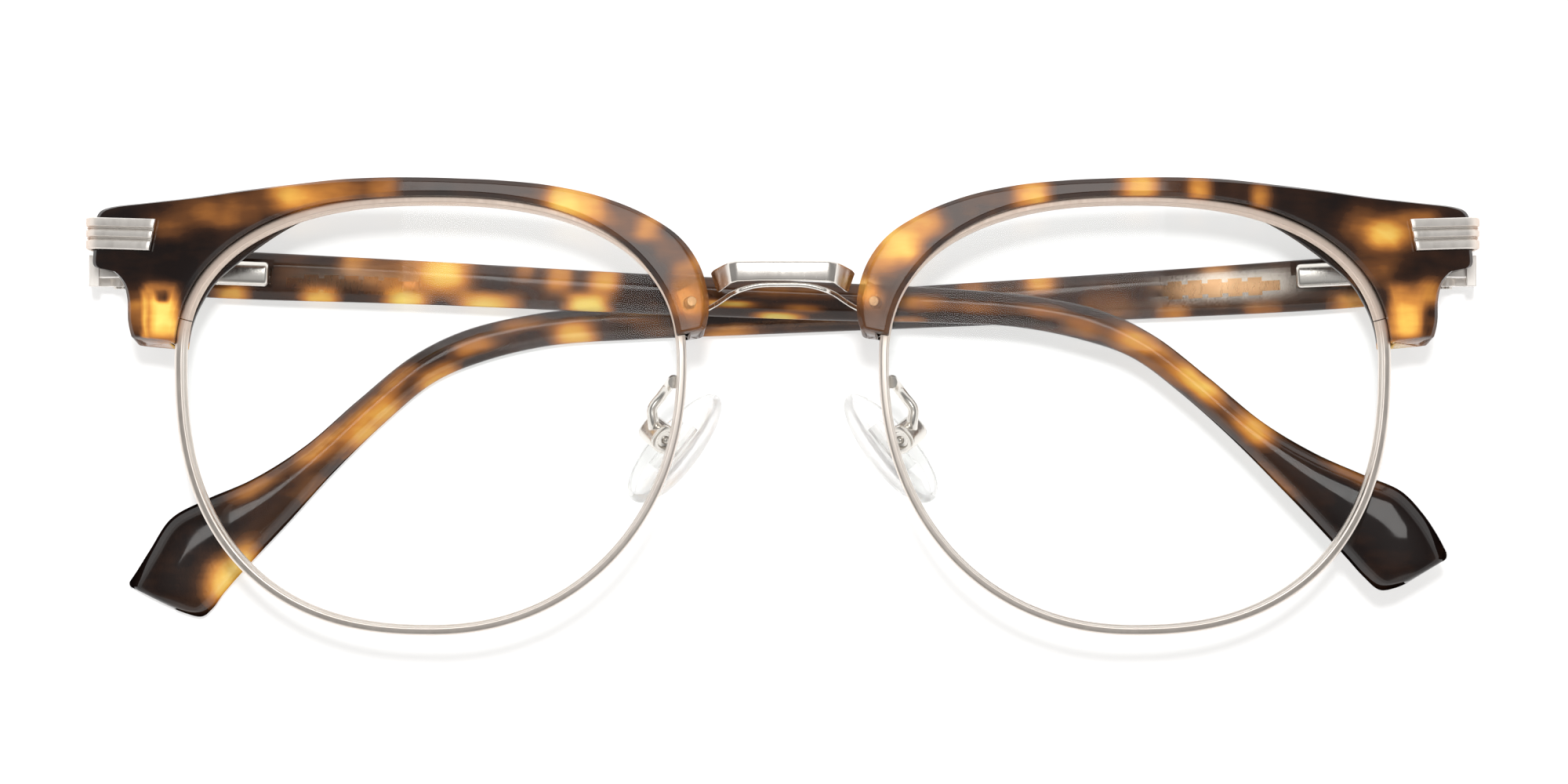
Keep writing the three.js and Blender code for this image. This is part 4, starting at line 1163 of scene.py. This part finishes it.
TEMPLE_PATCHES: dict[Side, tuple[Patch, ...]] = {
    Side.RIGHT: patches(
        (11.2, 0.1, 1.8, 0.22, 0.72), (20.2, 0.12, 2.0, 0.25, 0.8), (23.4, 0.85, 1.9, 0.3, 0.66),
        (27.0, 0.7, 3.0, 0.4, 0.45), (28.8, 0.12, 2.2, 0.32, 0.93), (32.2, 0.75, 3.2, 0.5, 0.93),
        (37.0, 0.12, 3.0, 0.26, 0.86), (40.4, 0.9, 1.0, 0.25, 0.5), (43.9, 0.8, 1.5, 0.4, 0.66),
        (48.3, 0.8, 1.8, 0.4, 0.82), (46.8, 0.18, 2.2, 0.26, 1.0), (61.2, 0.34, 2.8, 0.1, 0.95),
        (66.0, 0.06, 2.4, 0.12, 0.9), (68.4, 0.3, 2.2, 0.12, 0.62), (67.0, 0.72, 7.0, 0.2, 0.46),
        (78.0, 0.05, 3.0, 0.12, 0.5), (79.0, 0.55, 4.0, 0.22, 0.6), (85.0, 0.5, 3.4, 0.18, 0.48),
        (92.0, 0.6, 3.0, 0.22, 0.5), (96.5, 0.4, 2.0, 0.3, 0.6), (102.0, 0.55, 3.0, 0.45, 0.78),
        (104.6, 0.25, 2.0, 0.25, 0.55), (107.4, 0.6, 2.6, 0.4, 0.88), (112.6, 0.7, 2.0, 0.45, 0.8),
        (126.0, 0.5, 9.0, 0.9, 0.0), (117.0, 0.05, 2.4, 0.2, 0.42), (121.0, 0.96, 3.0, 0.16, 0.5),
    ),
    Side.LEFT: patches(
        (9.4, 0.1, 2.4, 0.25, 0.62), (18.4, 0.12, 2.0, 0.2, 0.5), (22.6, 0.88, 2.0, 0.22, 0.64),
        (27.4, 0.1, 1.8, 0.22, 0.48), (34.0, 0.3, 3.0, 0.3, 0.35), (40.4, 0.88, 1.8, 0.25, 0.7),
        (47.3, 0.88, 1.7, 0.25, 0.6), (60.0, 0.5, 5.0, 0.3, 0.4), (72.0, 0.1, 3.0, 0.2, 0.6),
        (80.0, 0.7, 3.0, 0.3, 0.45), (87.4, 0.3, 2.4, 0.4, 0.86), (92.0, 0.75, 2.4, 0.22, 0.5),
        (97.0, 0.5, 2.2, 0.26, 0.7), (101.6, 0.15, 2.2, 0.3, 0.66), (104.0, 0.75, 1.8, 0.3, 0.55),
        (108.0, 0.35, 3.0, 0.5, 0.78), (112.4, 0.72, 2.2, 0.3, 0.62), (114.6, 0.15, 1.6, 0.3, 0.4),
        (126.0, 0.6, 8.0, 0.8, 0.02), (118.0, 0.85, 2.6, 0.16, 0.5), (123.6, 0.08, 3.0, 0.28, 0.86),
    ),
}


# upper edge (l, h) and lower edge (l, h) of each temple
TEMPLE_RIBS: dict[Side, tuple] = {
    Side.RIGHT: (
        (3.6, 2.5, 3.6, -2.25), (12.5, 2.0, 12.2, -2.75), (30, 0.95, 29.7, -3.4), (55, -0.65, 54.7, -4.6),
        (70, -1.45, 69.8, -5.25), (82, -2.15, 81.4, -5.6), (91, -3.0, 89.6, -6.1), (98, -4.5, 96, -7.4),
        (103.2, -7.0, 101, -9.2), (108.6, -11.2, 105.9, -12.8), (114, -15.7, 111.2, -17.6),
        (119.3, -18.9, 115.8, -22.3), (124.2, -21.1, 119.6, -26.3), (127.8, -22.7, 122.3, -29.3),
        (129.9, -24.9, 124.0, -31.2), (131.3, -27.0, 125.6, -32.5), (132.5, -29.3, 127.6, -32.2),
    ),
    Side.LEFT: (
        (3.6, 2.1, 3.6, -3.0), (12.5, 1.5, 12.2, -3.65), (30, 0.35, 29.7, -4.4), (55, -1.1, 54.7, -5.25),
        (70, -1.85, 69.8, -5.75), (82, -2.6, 81.4, -6.15), (91, -3.5, 89.6, -6.7), (98, -5.1, 96, -8.15),
        (103.2, -7.6, 101, -10.2), (108.6, -11.9, 105.9, -14.1), (114, -16.5, 111.2, -19.2),
        (119.3, -19.8, 115.8, -24.2), (124.2, -21.9, 119.6, -28.2), (127.6, -23.8, 122.2, -31.1),
        (129.6, -26.8, 123.4, -32.7), (131.0, -29.0, 124.6, -33.5), (131.9, -30.3, 126.6, -33.0),
    ),
}
ANCHOR_CLEAR = {Side.RIGHT: Patch(22.5, 0.55, 8.0, 0.36, 0.36), Side.LEFT: Patch(21.5, 0.6, 7.5, 0.34, 0.8)}


@dataclass
class Temples:
    """The folded temples with their spring hinges and core wires.

    Sizes are in each temple's own frame: l runs from the hinge screw towards the tip, h up, and w from the
    outer face inwards.
    """

    shop: Workshop
    shape: FrontShape
    hinge: tuple[float, float, float] = (66.2, 14.3, 3.6)
    roll: float = math.radians(0.4)
    right_slant: float = math.radians(4.6)
    drop: float = math.radians(2.5)
    middle_height: float = 0.35
    stations: int = 560
    recess_end: float = 15.4
    recess_half: float = 1.5
    recess_floor: float = 1.85
    casing: tuple[float, float, float, float] = (3.8, 15.0, 2.1, 4.5)
    casing_half: float = 1.25
    hinge_thickness: float = 3.6
    thinning: float = 0.7
    thin_from: float = 16.0
    thin_run: float = 39.0
    # each crowning of the inner face: how much, from which l, and over what length
    crowns: tuple = ((0.22, 24, 16), (0.75, 96, 22))
    tip_reach: float = 4.5
    tip_power: float = 2.2
    end_radius: float = 0.55
    wall: float = 0.015
    ground: float = 0.19
    coil_turns: int = 6
    coil_radius: float = 0.57
    coil_wire: float = 0.11
    coil_span: tuple[float, float] = (6.5, 13.4)
    coil_centre: float = 3.3

    def build(self) -> None:
        """Builds the pieces of both sides."""
        for side in Side:
            body, slider = f"{side.label}_temple", f"{side.label}_slider"
            self._temple(side, body)
            self._casing(side, body)
            shop, label = self.shop, side.label
            shop.eased(f"temple_core_{label}", f"core_wire_{label}", Slot.CORE, body, 0.09)
            shop.eased(f"hinge_plunger_{label}", f"hinge_slider_{label}", Slot.SILVER, slider, 0.1)
            self._spring(side, slider)

    def place(self, side: Side) -> Place:
        """Maps l, h and w to a point: the slant turns about y, the roll about z, both at the hinge."""
        slant = -self.right_slant if side is Side.RIGHT else 0.0
        x0, y0, z0 = self.hinge

        def at(l: Array, h: Array, w: Array) -> Array:
            """The point, turned by the slant and then by the roll, and moved to the hinge."""
            x, y, z = -side.value * l, h, w - z0
            x, z = x * math.cos(slant) + z * math.sin(slant), z * math.cos(slant) - x * math.sin(slant)
            c, s = math.cos(self.roll), math.sin(self.roll)
            x, y = x * c - y * s, x * s + y * c
            return np.stack([side.value * x0 + x, self.shape.line_y + y0 + y, z0 + z], axis=-1)

        return at

    def sloped(self, side: Side) -> Place:
        """The same map for places along the sloping centre line of the hinge end."""
        inner = self.place(side)
        c, s = math.cos(self.drop), math.sin(self.drop)
        return lambda l, v, w: inner(l * c + v * s, self.middle_height - l * s + v * c, w)

    def _temple(self, side: Side, body: str) -> None:
        """Carries a bevelled section along the temple; the hinge end has a recess for the casing.

        The inner face is crowned, and the recess is made by moving the middle points of that face
        down to its floor and apart to its two walls. The step between two close stations is its end wall.
        """
        fine = centripetal_curve(TEMPLE_RIBS[side], 3000)
        middle = (fine[:, :2] + fine[:, 2:]) / 2
        steps = distances(middle)
        at, inset = rounded_ends(float(steps[-1]), self.end_radius, self.stations, 7)
        inset[at < 3.0] = 0
        cut = float(np.interp(self.recess_end, middle[:, 0], steps))
        keep = np.abs(at - cut) > 0.1
        at = np.concatenate([at[keep], [cut - self.wall, cut + self.wall]])
        inset = np.concatenate([inset[keep], [0.0, 0.0]])
        order = np.argsort(at)
        at, inset = at[order], inset[order]
        rib = np.stack([np.interp(at, steps, column) for column in fine.T], axis=1)
        upper, lower = rib[:, :2], rib[:, 2:]
        height = np.linalg.norm(upper - lower, axis=1)
        centre = (upper[:, 0] + lower[:, 0]) / 2
        thickness = self.hinge_thickness - self.thinning * smooth((centre - self.thin_from) / self.thin_run)
        section = self._section()
        flat = section.points(height, thickness, inset)
        v, w = flat[..., 0], flat[..., 1]
        upright = np.abs(section.normal[:, 1] - 1) < 1e-6
        face = np.flatnonzero(np.isclose(section.table[:, 3], 1.0) & upright)
        bulge = sum(rise * np.clip((centre - start) / run, 0, 1) for rise, start, run in self.crowns)
        to_tip = float(steps[-1]) - at
        end_drop = np.clip(1 - to_tip / self.tip_reach, 0, 1) ** self.tip_power
        crown = bulge[:, None] * (2 * v / height[:, None] - 1) ** 2 + end_drop[:, None]
        w = np.where(w > thickness[:, None] / 2, w - crown, w)
        open_rows = at < cut
        count = len(face)
        first, last = count // 4, count - count // 4
        line = (self.middle_height - centre * math.tan(self.drop) - lower[:, 1])[open_rows, None]
        v_open, w_open = v[open_rows], w[open_rows]
        start, end = v_open[:, face[:1]].copy(), v_open[:, face[-1:]].copy()
        half = np.where(start > end, 1.0, -1.0) * self.recess_half
        brim = half + np.sign(half) * self.wall
        v_open[:, face[:first]] = start + (line + brim - start) * np.linspace(0, 1, first)
        v_open[:, face[first:last]] = line + half * np.linspace(1, -1, last - first)
        v_open[:, face[last:]] = line - brim + (end - line + brim) * np.linspace(0, 1, count - last)
        w_open[:, face[first:last]] = self.recess_floor
        v[open_rows], w[open_rows] = v_open, w_open
        lh = lower[:, None] + ((upper - lower) / height[:, None])[:, None] * v[..., None]
        rings = self.place(side)(lh[..., 0], lh[..., 1], w)
        across = v / height[:, None]
        along = np.broadcast_to(centre[:, None], across.shape)
        tone = toned(along, across, self.ground, TEMPLE_PATCHES[side])
        # painted light: light patches are a little lighter on the bevel of the lower edge, where light comes
        # through the sheet from below
        bevel = np.clip((0.26 - across) / 0.2, 0, 1) * np.clip((0.8 - np.abs(across)) / 0.3, 0, 1)
        tone = np.clip(tone + 0.1 * bevel * (tone > 0.3), 0, 1)
        clear = toned(along, across, 0.0, (ANCHOR_CLEAR[side],))
        surface = swept(rings, {"tone": tone, "clear": clear})
        self.shop.piece(f"acetate_temple_{side.label}", surface, Slot.ACETATE, body, f"temple_{side.label}")

    def _section(self) -> Section:
        """Broad bevels along the inner face's edges and smaller ones along the outer face's."""
        broad, deep, small = 1.0, 0.8, 0.5
        return Section([
            Corner(0, 0, 0, small, 0.3), Corner(0, 0, small, 0, 0.3),
            Corner(1, 0, -small, 0, 0.3), Corner(1, 0, 0, small, 0.3),
            Corner(1, 1, 0, -deep, 0.6), Corner(1, 1, -broad, 0, 0.8),
            Corner(0, 1, broad, 0, 0.8), Corner(0, 1, 0, -deep, 0.6),
        ], nominal=(4.4, 3.2, 0.0, 0.0), edge_steps=12)

    def _casing(self, side: Side, body: str) -> None:
        """A polished box with rounded edges and ends, set in the temple's recess, with its top crowned."""
        start, end, low, high = self.casing
        at, inset = rounded_ends(end - start, 0.45, 60, 8)
        ones = np.ones(len(at))
        width, depth = 2 * self.casing_half, high - low
        corners = [Corner(0, 0, radius=0.15), Corner(1, 0, radius=0.15), Corner(1, 1, radius=0.75),
                   Corner(0, 1, radius=0.75)]
        section = Section(corners, nominal=(width, depth, 0.0, 0.0), arc_steps=10, edge_steps=8)
        flat = section.points(ones * width, ones * depth, inset)
        crown = 0.12 * (2 * flat[..., 0] / width - 1) ** 2
        deep = np.where(flat[..., 1] > depth / 2, flat[..., 1] - crown, flat[..., 1])
        along = start + at[:, None] + 0 * deep
        rings = self.sloped(side)(along, flat[..., 0] - self.casing_half, low + deep)
        name = f"spring_casing_{side.label}"
        self.shop.piece(name, swept(rings), Slot.SILVER, body, f"hinge_casing_{side.label}")

    def _spring(self, side: Side, body: str) -> None:
        """A coil: a small circle carried along a helix, with its ends closed flat."""
        t = np.linspace(0, 1, self.coil_turns * 40)[:, None]
        around = full_turn(12)[None]
        angle = 2 * math.pi * self.coil_turns * t
        reach = self.coil_radius + self.coil_wire * np.cos(around)
        start, end = self.coil_span
        along = start + (end - start) * t + self.coil_wire * np.sin(around)
        rings = self.sloped(side)(along, reach * np.cos(angle), self.coil_centre + reach * np.sin(angle))
        name, node = f"hinge_coil_{side.label}", f"hinge_spring_{side.label}"
        self.shop.piece(name, swept(rings), Slot.SPRING, body, node)


# ---------------------------------------------------------------- nose pads


@dataclass
class NosePads:
    """The clear nose pads, each on a screw in a small box at the end of a bent arm."""

    shop: Workshop
    shape: FrontShape
    centre: tuple[float, float, float] = (11.05, -2.9, 12.3)
    splay: float = math.radians(32)
    half_length: float = 6.7
    half_width: float = 3.8
    thickness: float = 2.1
    pivot: float = 1.7
    cup_middle: float = 1.95
    cup_floor: float = 1.22
    cup_back: float = -1.75
    cup_half: tuple[float, float] = (1.42, 1.3)
    pin_half: float = 1.62
    drop_share: float = 0.12
    wire: float = 0.62
    wire_thinning: float = 0.1
    # the arm's way from the eyewire to the box: distance from the middle, height and z
    bend_points: tuple = ((10.9, 3.5, 16.6), (11.3, 3.0, 15.2), (12.1, 1.9, 14.5), (12.95, 0.7, 14.4))

    def build(self) -> None:
        """Builds the pieces of both sides."""
        for side in Side:
            label, body = side.label, f"{side.label}_pad"
            self._pad(side, body)
            self.shop.eased(f"pad_core_{label}", f"pad_insert_{label}", Slot.PAD, body, 0.12)
            self._arm(side)
            self._cup(side)
            self._pin(side)

    def place(self, side: Side) -> Place:
        """Maps l down the pad's length, w forward across it and n from its back towards the lens."""
        across = np.array([0.772 * side.value, 0.635, 0.0])
        length = np.array([0.635 * side.value, -0.772, 0.0])
        up = np.array([0.0, 0.0, 1.0])
        out = across * math.cos(self.splay) + up * math.sin(self.splay)
        width = up * math.cos(self.splay) - across * math.sin(self.splay)
        origin = np.array(self.centre) * [side.value, 1, 1] + [0, self.shape.line_y, 0]

        def at(l: Array, w: Array, n: Array) -> Array:
            """The origin plus each distance along its own direction."""
            l, w, n = np.broadcast_arrays(l, w, n)
            return origin + l[..., None] * length + w[..., None] * width + n[..., None] * out

        return at

    def _pad(self, side: Side, body: str) -> None:
        """A drop-shaped cushion: ellipses, wider at the lower end, shrink over a rounded rim to each face."""
        rim = np.linspace(0, math.pi, 18)
        front, back = np.linspace(0.06, 0.9, 12), np.linspace(0.9, 0.06, 14)
        scale = np.concatenate([front, 0.93 + 0.07 * np.sin(rim), back])
        n = np.concatenate([np.zeros(12), -0.55 + 0.55 * np.cos(rim), -1.1 - (1 - back ** 2)])
        angle = full_turn(120)
        taper = 1 + self.drop_share * np.cos(angle)
        l = scale[:, None] * self.half_length * np.cos(angle)
        w = scale[:, None] * self.half_width * taper * np.sin(angle)
        place = self.place(side)
        rings = place(l, w, n[:, None])
        surface = capped_by_poles(rings, spot(place, 0.0, 0.0, 0.0), spot(place, 0.0, 0.0, -self.thickness))
        self.shop.piece(f"clear_pad_{side.label}", surface, Slot.PAD, body, f"nose_pad_{side.label}")

    def _arm(self, side: Side) -> None:
        """A round wire that thins along a smooth bend, from the eyewire's back to the box.

        Each ring is a circle in the plane of two directions square to the wire, which are worked out
        from its heading and a fixed sideways direction.
        """
        pad, line = self.place(side), self.shape.line_y
        route = [spot(self.shape.place(side), -24.45, 3.4, -2.05)]
        route += [np.array([side.value * x, y + line, z]) for x, y, z in self.bend_points]
        route += [spot(pad, -0.7, 0.15, 3.55), spot(pad, 0.0, 0.0, 2.6)]
        path = centripetal_curve(np.array(route), 120)
        along = unit(np.gradient(path, axis=0))
        first = unit(np.cross(along, np.array([side.value * 0.45, -0.6, 0.66])))
        second = np.cross(along, first)
        angle = full_turn(20)[None, :, None]
        share = np.linspace(0, 1, 120)[:, None, None]
        radius = self.wire - self.wire_thinning * np.sin(math.pi * share)
        rings = path[:, None] + radius * (np.cos(angle) * first[:, None] + np.sin(angle) * second[:, None])
        self.shop.piece(f"pad_wire_{side.label}", swept(rings), Slot.SILVER, "front", f"pad_arm_{side.label}")

    def _cup(self, side: Side) -> None:
        """A soft-edged cup round the screw: rings grow from a sunk round floor over a rim to the outline.

        The inner rings are circles; the outer ones follow a superellipse in l and n, and run along w from
        the front face over its rounded edge to the back.
        """
        angle = full_turn(64)
        c, s = np.cos(angle), np.sin(angle)
        half_l, half_n = self.cup_half
        outline = ((np.abs(c) / half_l) ** 3 + (np.abs(s) / half_n) ** 3) ** (-1 / 3)
        # reach and w: of the circles, and then of the outer outline
        circles = np.array([(0.4, 1.22), (0.7, 1.22), (0.79, 1.27), (0.83, 1.4), (0.86, 1.62), (0.92, 1.72),
                            (1.0, 1.75)])
        outer = np.array([(0.85, 1.75), (0.92, 1.71), (0.97, 1.6), (0.995, 1.45), (1.0, 1.25), (1.0, -1.25),
                          (0.97, -1.6), (0.9, -1.73), (0.8, -1.75), (0.2, -1.75)])
        reach = np.vstack([circles[:, :1] * np.ones_like(outline), outer[:, :1] * outline])
        w = np.concatenate([circles[:, 1], outer[:, 1]])[:, None]
        place = self.place(side)
        rings = place(reach * c, w, self.cup_middle + reach * s)
        poles = (spot(place, 0.0, w, self.cup_middle) for w in (self.cup_floor, self.cup_back))
        surface = capped_by_poles(rings, *poles)
        self.shop.piece(f"pad_cup_{side.label}", surface, Slot.SILVER, "front", f"pad_box_{side.label}")

    def _pin(self, side: Side) -> None:
        """The pad's screw, turned: a domed head at each end of a plain shank."""
        head = np.array([(0.0, 0.0), (0.15, -0.03), (0.27, -0.1), (0.36, -0.22), (0.38, -0.36), (0.44, -0.4)])
        right = head + [0, self.pin_half]
        profile = np.vstack([right, (right * [1, -1])[::-1]])
        place = self.place(side)
        surface = turned(profile, 32, lambda x, y, z: place(x, z, self.pivot + y))
        self.shop.piece(f"pad_pin_{side.label}", surface, Slot.SCREW, "front", f"pad_screw_{side.label}")


# ---------------------------------------------------------------- studio


@dataclass
class Studio:
    """The plain pale floor, the soft lights and the camera, which looks straight down on the front.

    Attributes:
        floor_half: Half of the floor's side in metres.
        floor_clear: Share of the floor that lets what is below it show.
        view_width: Width of the picture at the front's height.
        view_centre: Middle of the picture.
        view_height: Height of the camera.
        front_z: Height of the front, where the view's width is measured.
        sensor: Width of the camera's sensor.
        room: The room's colours, by the height of the direction from the horizon up to the zenith.
    """

    floor_half: float = 4.0
    floor_clear: float = 0.55
    view_width: float = 155.45
    view_centre: tuple[float, float] = (0.12, 1.46)
    view_height: float = 2500.0
    front_z: float = 20.0
    sensor: float = 36.0
    room: tuple = (
        (0.1, (1.12, 1.11, 1.1)), (0.43, (1.2, 1.185, 1.165)), (0.6, (0.34, 0.33, 0.32)),
        (0.8, (0.2, 0.195, 0.19)), (0.92, (0.36, 0.355, 0.35)), (1.0, (0.5, 0.495, 0.49)),
    )

    def build(self) -> None:
        """Builds the floor, the lights, the surroundings and the camera."""
        bpy.context.scene.view_settings.view_transform = "Standard"
        self._floor()
        self._lights()
        self._surroundings()
        self._camera()

    def _floor(self) -> None:
        """A large mottled sheet under the lowest point, half clear so that opened temples show through."""
        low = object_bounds()[0].z
        half = self.floor_half
        mesh = bpy.data.meshes.new("floor")
        corners = [(-half, -half, low), (half, -half, low), (half, half, low), (-half, half, low)]
        mesh.from_pydata(corners, [], [(0, 1, 2, 3)])
        floor = bpy.data.objects.new("floor", mesh)
        bpy.context.scene.collection.objects.link(floor)
        book = NodeBook("floor_paper")
        colour = book.ramp(book.noise(30.0, 2.0), [(0.0, (0.88, 0.88, 0.88)), (1.0, (0.9, 0.9, 0.9))])
        shader = book.add("ShaderNodeBsdfPrincipled", {"Base Color": colour, "Roughness": 0.9,
                                                       "Specular IOR Level": 0.0})
        below = book.add("ShaderNodeBsdfTransparent")
        mesh.materials.append(book.blend(self.floor_clear, shader, below))
        floor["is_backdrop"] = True

    def _lamp(self, name: str, kind: str, energy: float, place: tuple[float, float, float],
              **settings: object) -> bpy.types.Object:
        """Adds a lamp that faces the origin and isn't seen itself.

        Args:
            name: The lamp's name.
            kind: Its type.
            energy: Its strength.
            place: Where it stands, in metres.
            settings: Properties of the lamp.

        Returns:
            The lamp's object.
        """
        lamp = bpy.data.lights.new(name, kind)
        lamp.energy = energy
        for key, value in settings.items():
            setattr(lamp, key, value)
        obj = bpy.data.objects.new(name, lamp)
        bpy.context.scene.collection.objects.link(obj)
        x, y, z = obj.location = place
        obj.rotation_euler = (math.atan2(math.hypot(x, y), z), 0, math.atan2(x, -y))
        obj.visible_camera = False
        return obj

    def _lights(self) -> None:
        """A soft box overhead, and a small key light from the brow's side for the soft shadow below it."""
        self._lamp("overhead_box", "AREA", 22.0, (0.0, 0.85, 2.9), shape="RECTANGLE", size=1.5, size_y=1.1,
                   color=(1.0, 0.985, 0.965))
        key = self._lamp("key", "SUN", 2.7, (0.0, 0.34, 2.0), angle=math.radians(5))
        key.visible_glossy = False

    def _surroundings(self) -> None:
        """A pale room that is dimmer at middle heights, so that polished edges show their shape."""
        world = bpy.data.worlds.new("room")
        bpy.context.scene.world = world
        world.use_nodes = True
        tree = world.node_tree
        tree.nodes.clear()
        direction = tree.nodes.new("ShaderNodeTexCoord")
        split = tree.nodes.new("ShaderNodeSeparateXYZ")
        ramp = tree.nodes.new("ShaderNodeValToRGB")
        fill_ramp(ramp, self.room)
        shade = tree.nodes.new("ShaderNodeBackground")
        output = tree.nodes.new("ShaderNodeOutputWorld")
        tree.links.new(direction.outputs["Generated"], split.inputs[0])
        tree.links.new(split.outputs[2], ramp.inputs[0])
        tree.links.new(ramp.outputs[0], shade.inputs[0])
        tree.links.new(shade.outputs[0], output.inputs[0])

    def _camera(self) -> None:
        """A long lens straight above the front, with the brow towards the top of the picture."""
        camera = bpy.data.cameras.new("camera")
        camera.sensor_width = self.sensor
        camera.lens = self.sensor * (self.view_height - self.front_z) / self.view_width
        camera.clip_end = 5 * self.floor_half
        camera.dof.use_dof = False
        obj = bpy.data.objects.new("camera", camera)
        obj.location = (self.view_centre[0] * MM, self.view_centre[1] * MM, self.view_height * MM)
        bpy.context.scene.collection.objects.link(obj)
        bpy.context.scene.camera = obj


def main() -> None:
    """Builds the glasses piece by piece, and logs how many pieces were made."""
    logging.basicConfig(level=logging.INFO, format="%(message)s")
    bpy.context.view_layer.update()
    Studio().build()
    satin = MetalFinish("silver_satin", (0.9, 0.865, 0.825), (0.84, 0.805, 0.765), (0.36, 0.46)).make()
    shop = Workshop(all_finishes(), satin)
    shape = FrontShape()
    for assembly in (Eyewires, Brows, Bridge, Corners, Temples, NosePads):
        assembly(shop, shape).build()
    LOG.info("%d pieces made", len(shop.made))


if __name__ == "__main__":
    main()
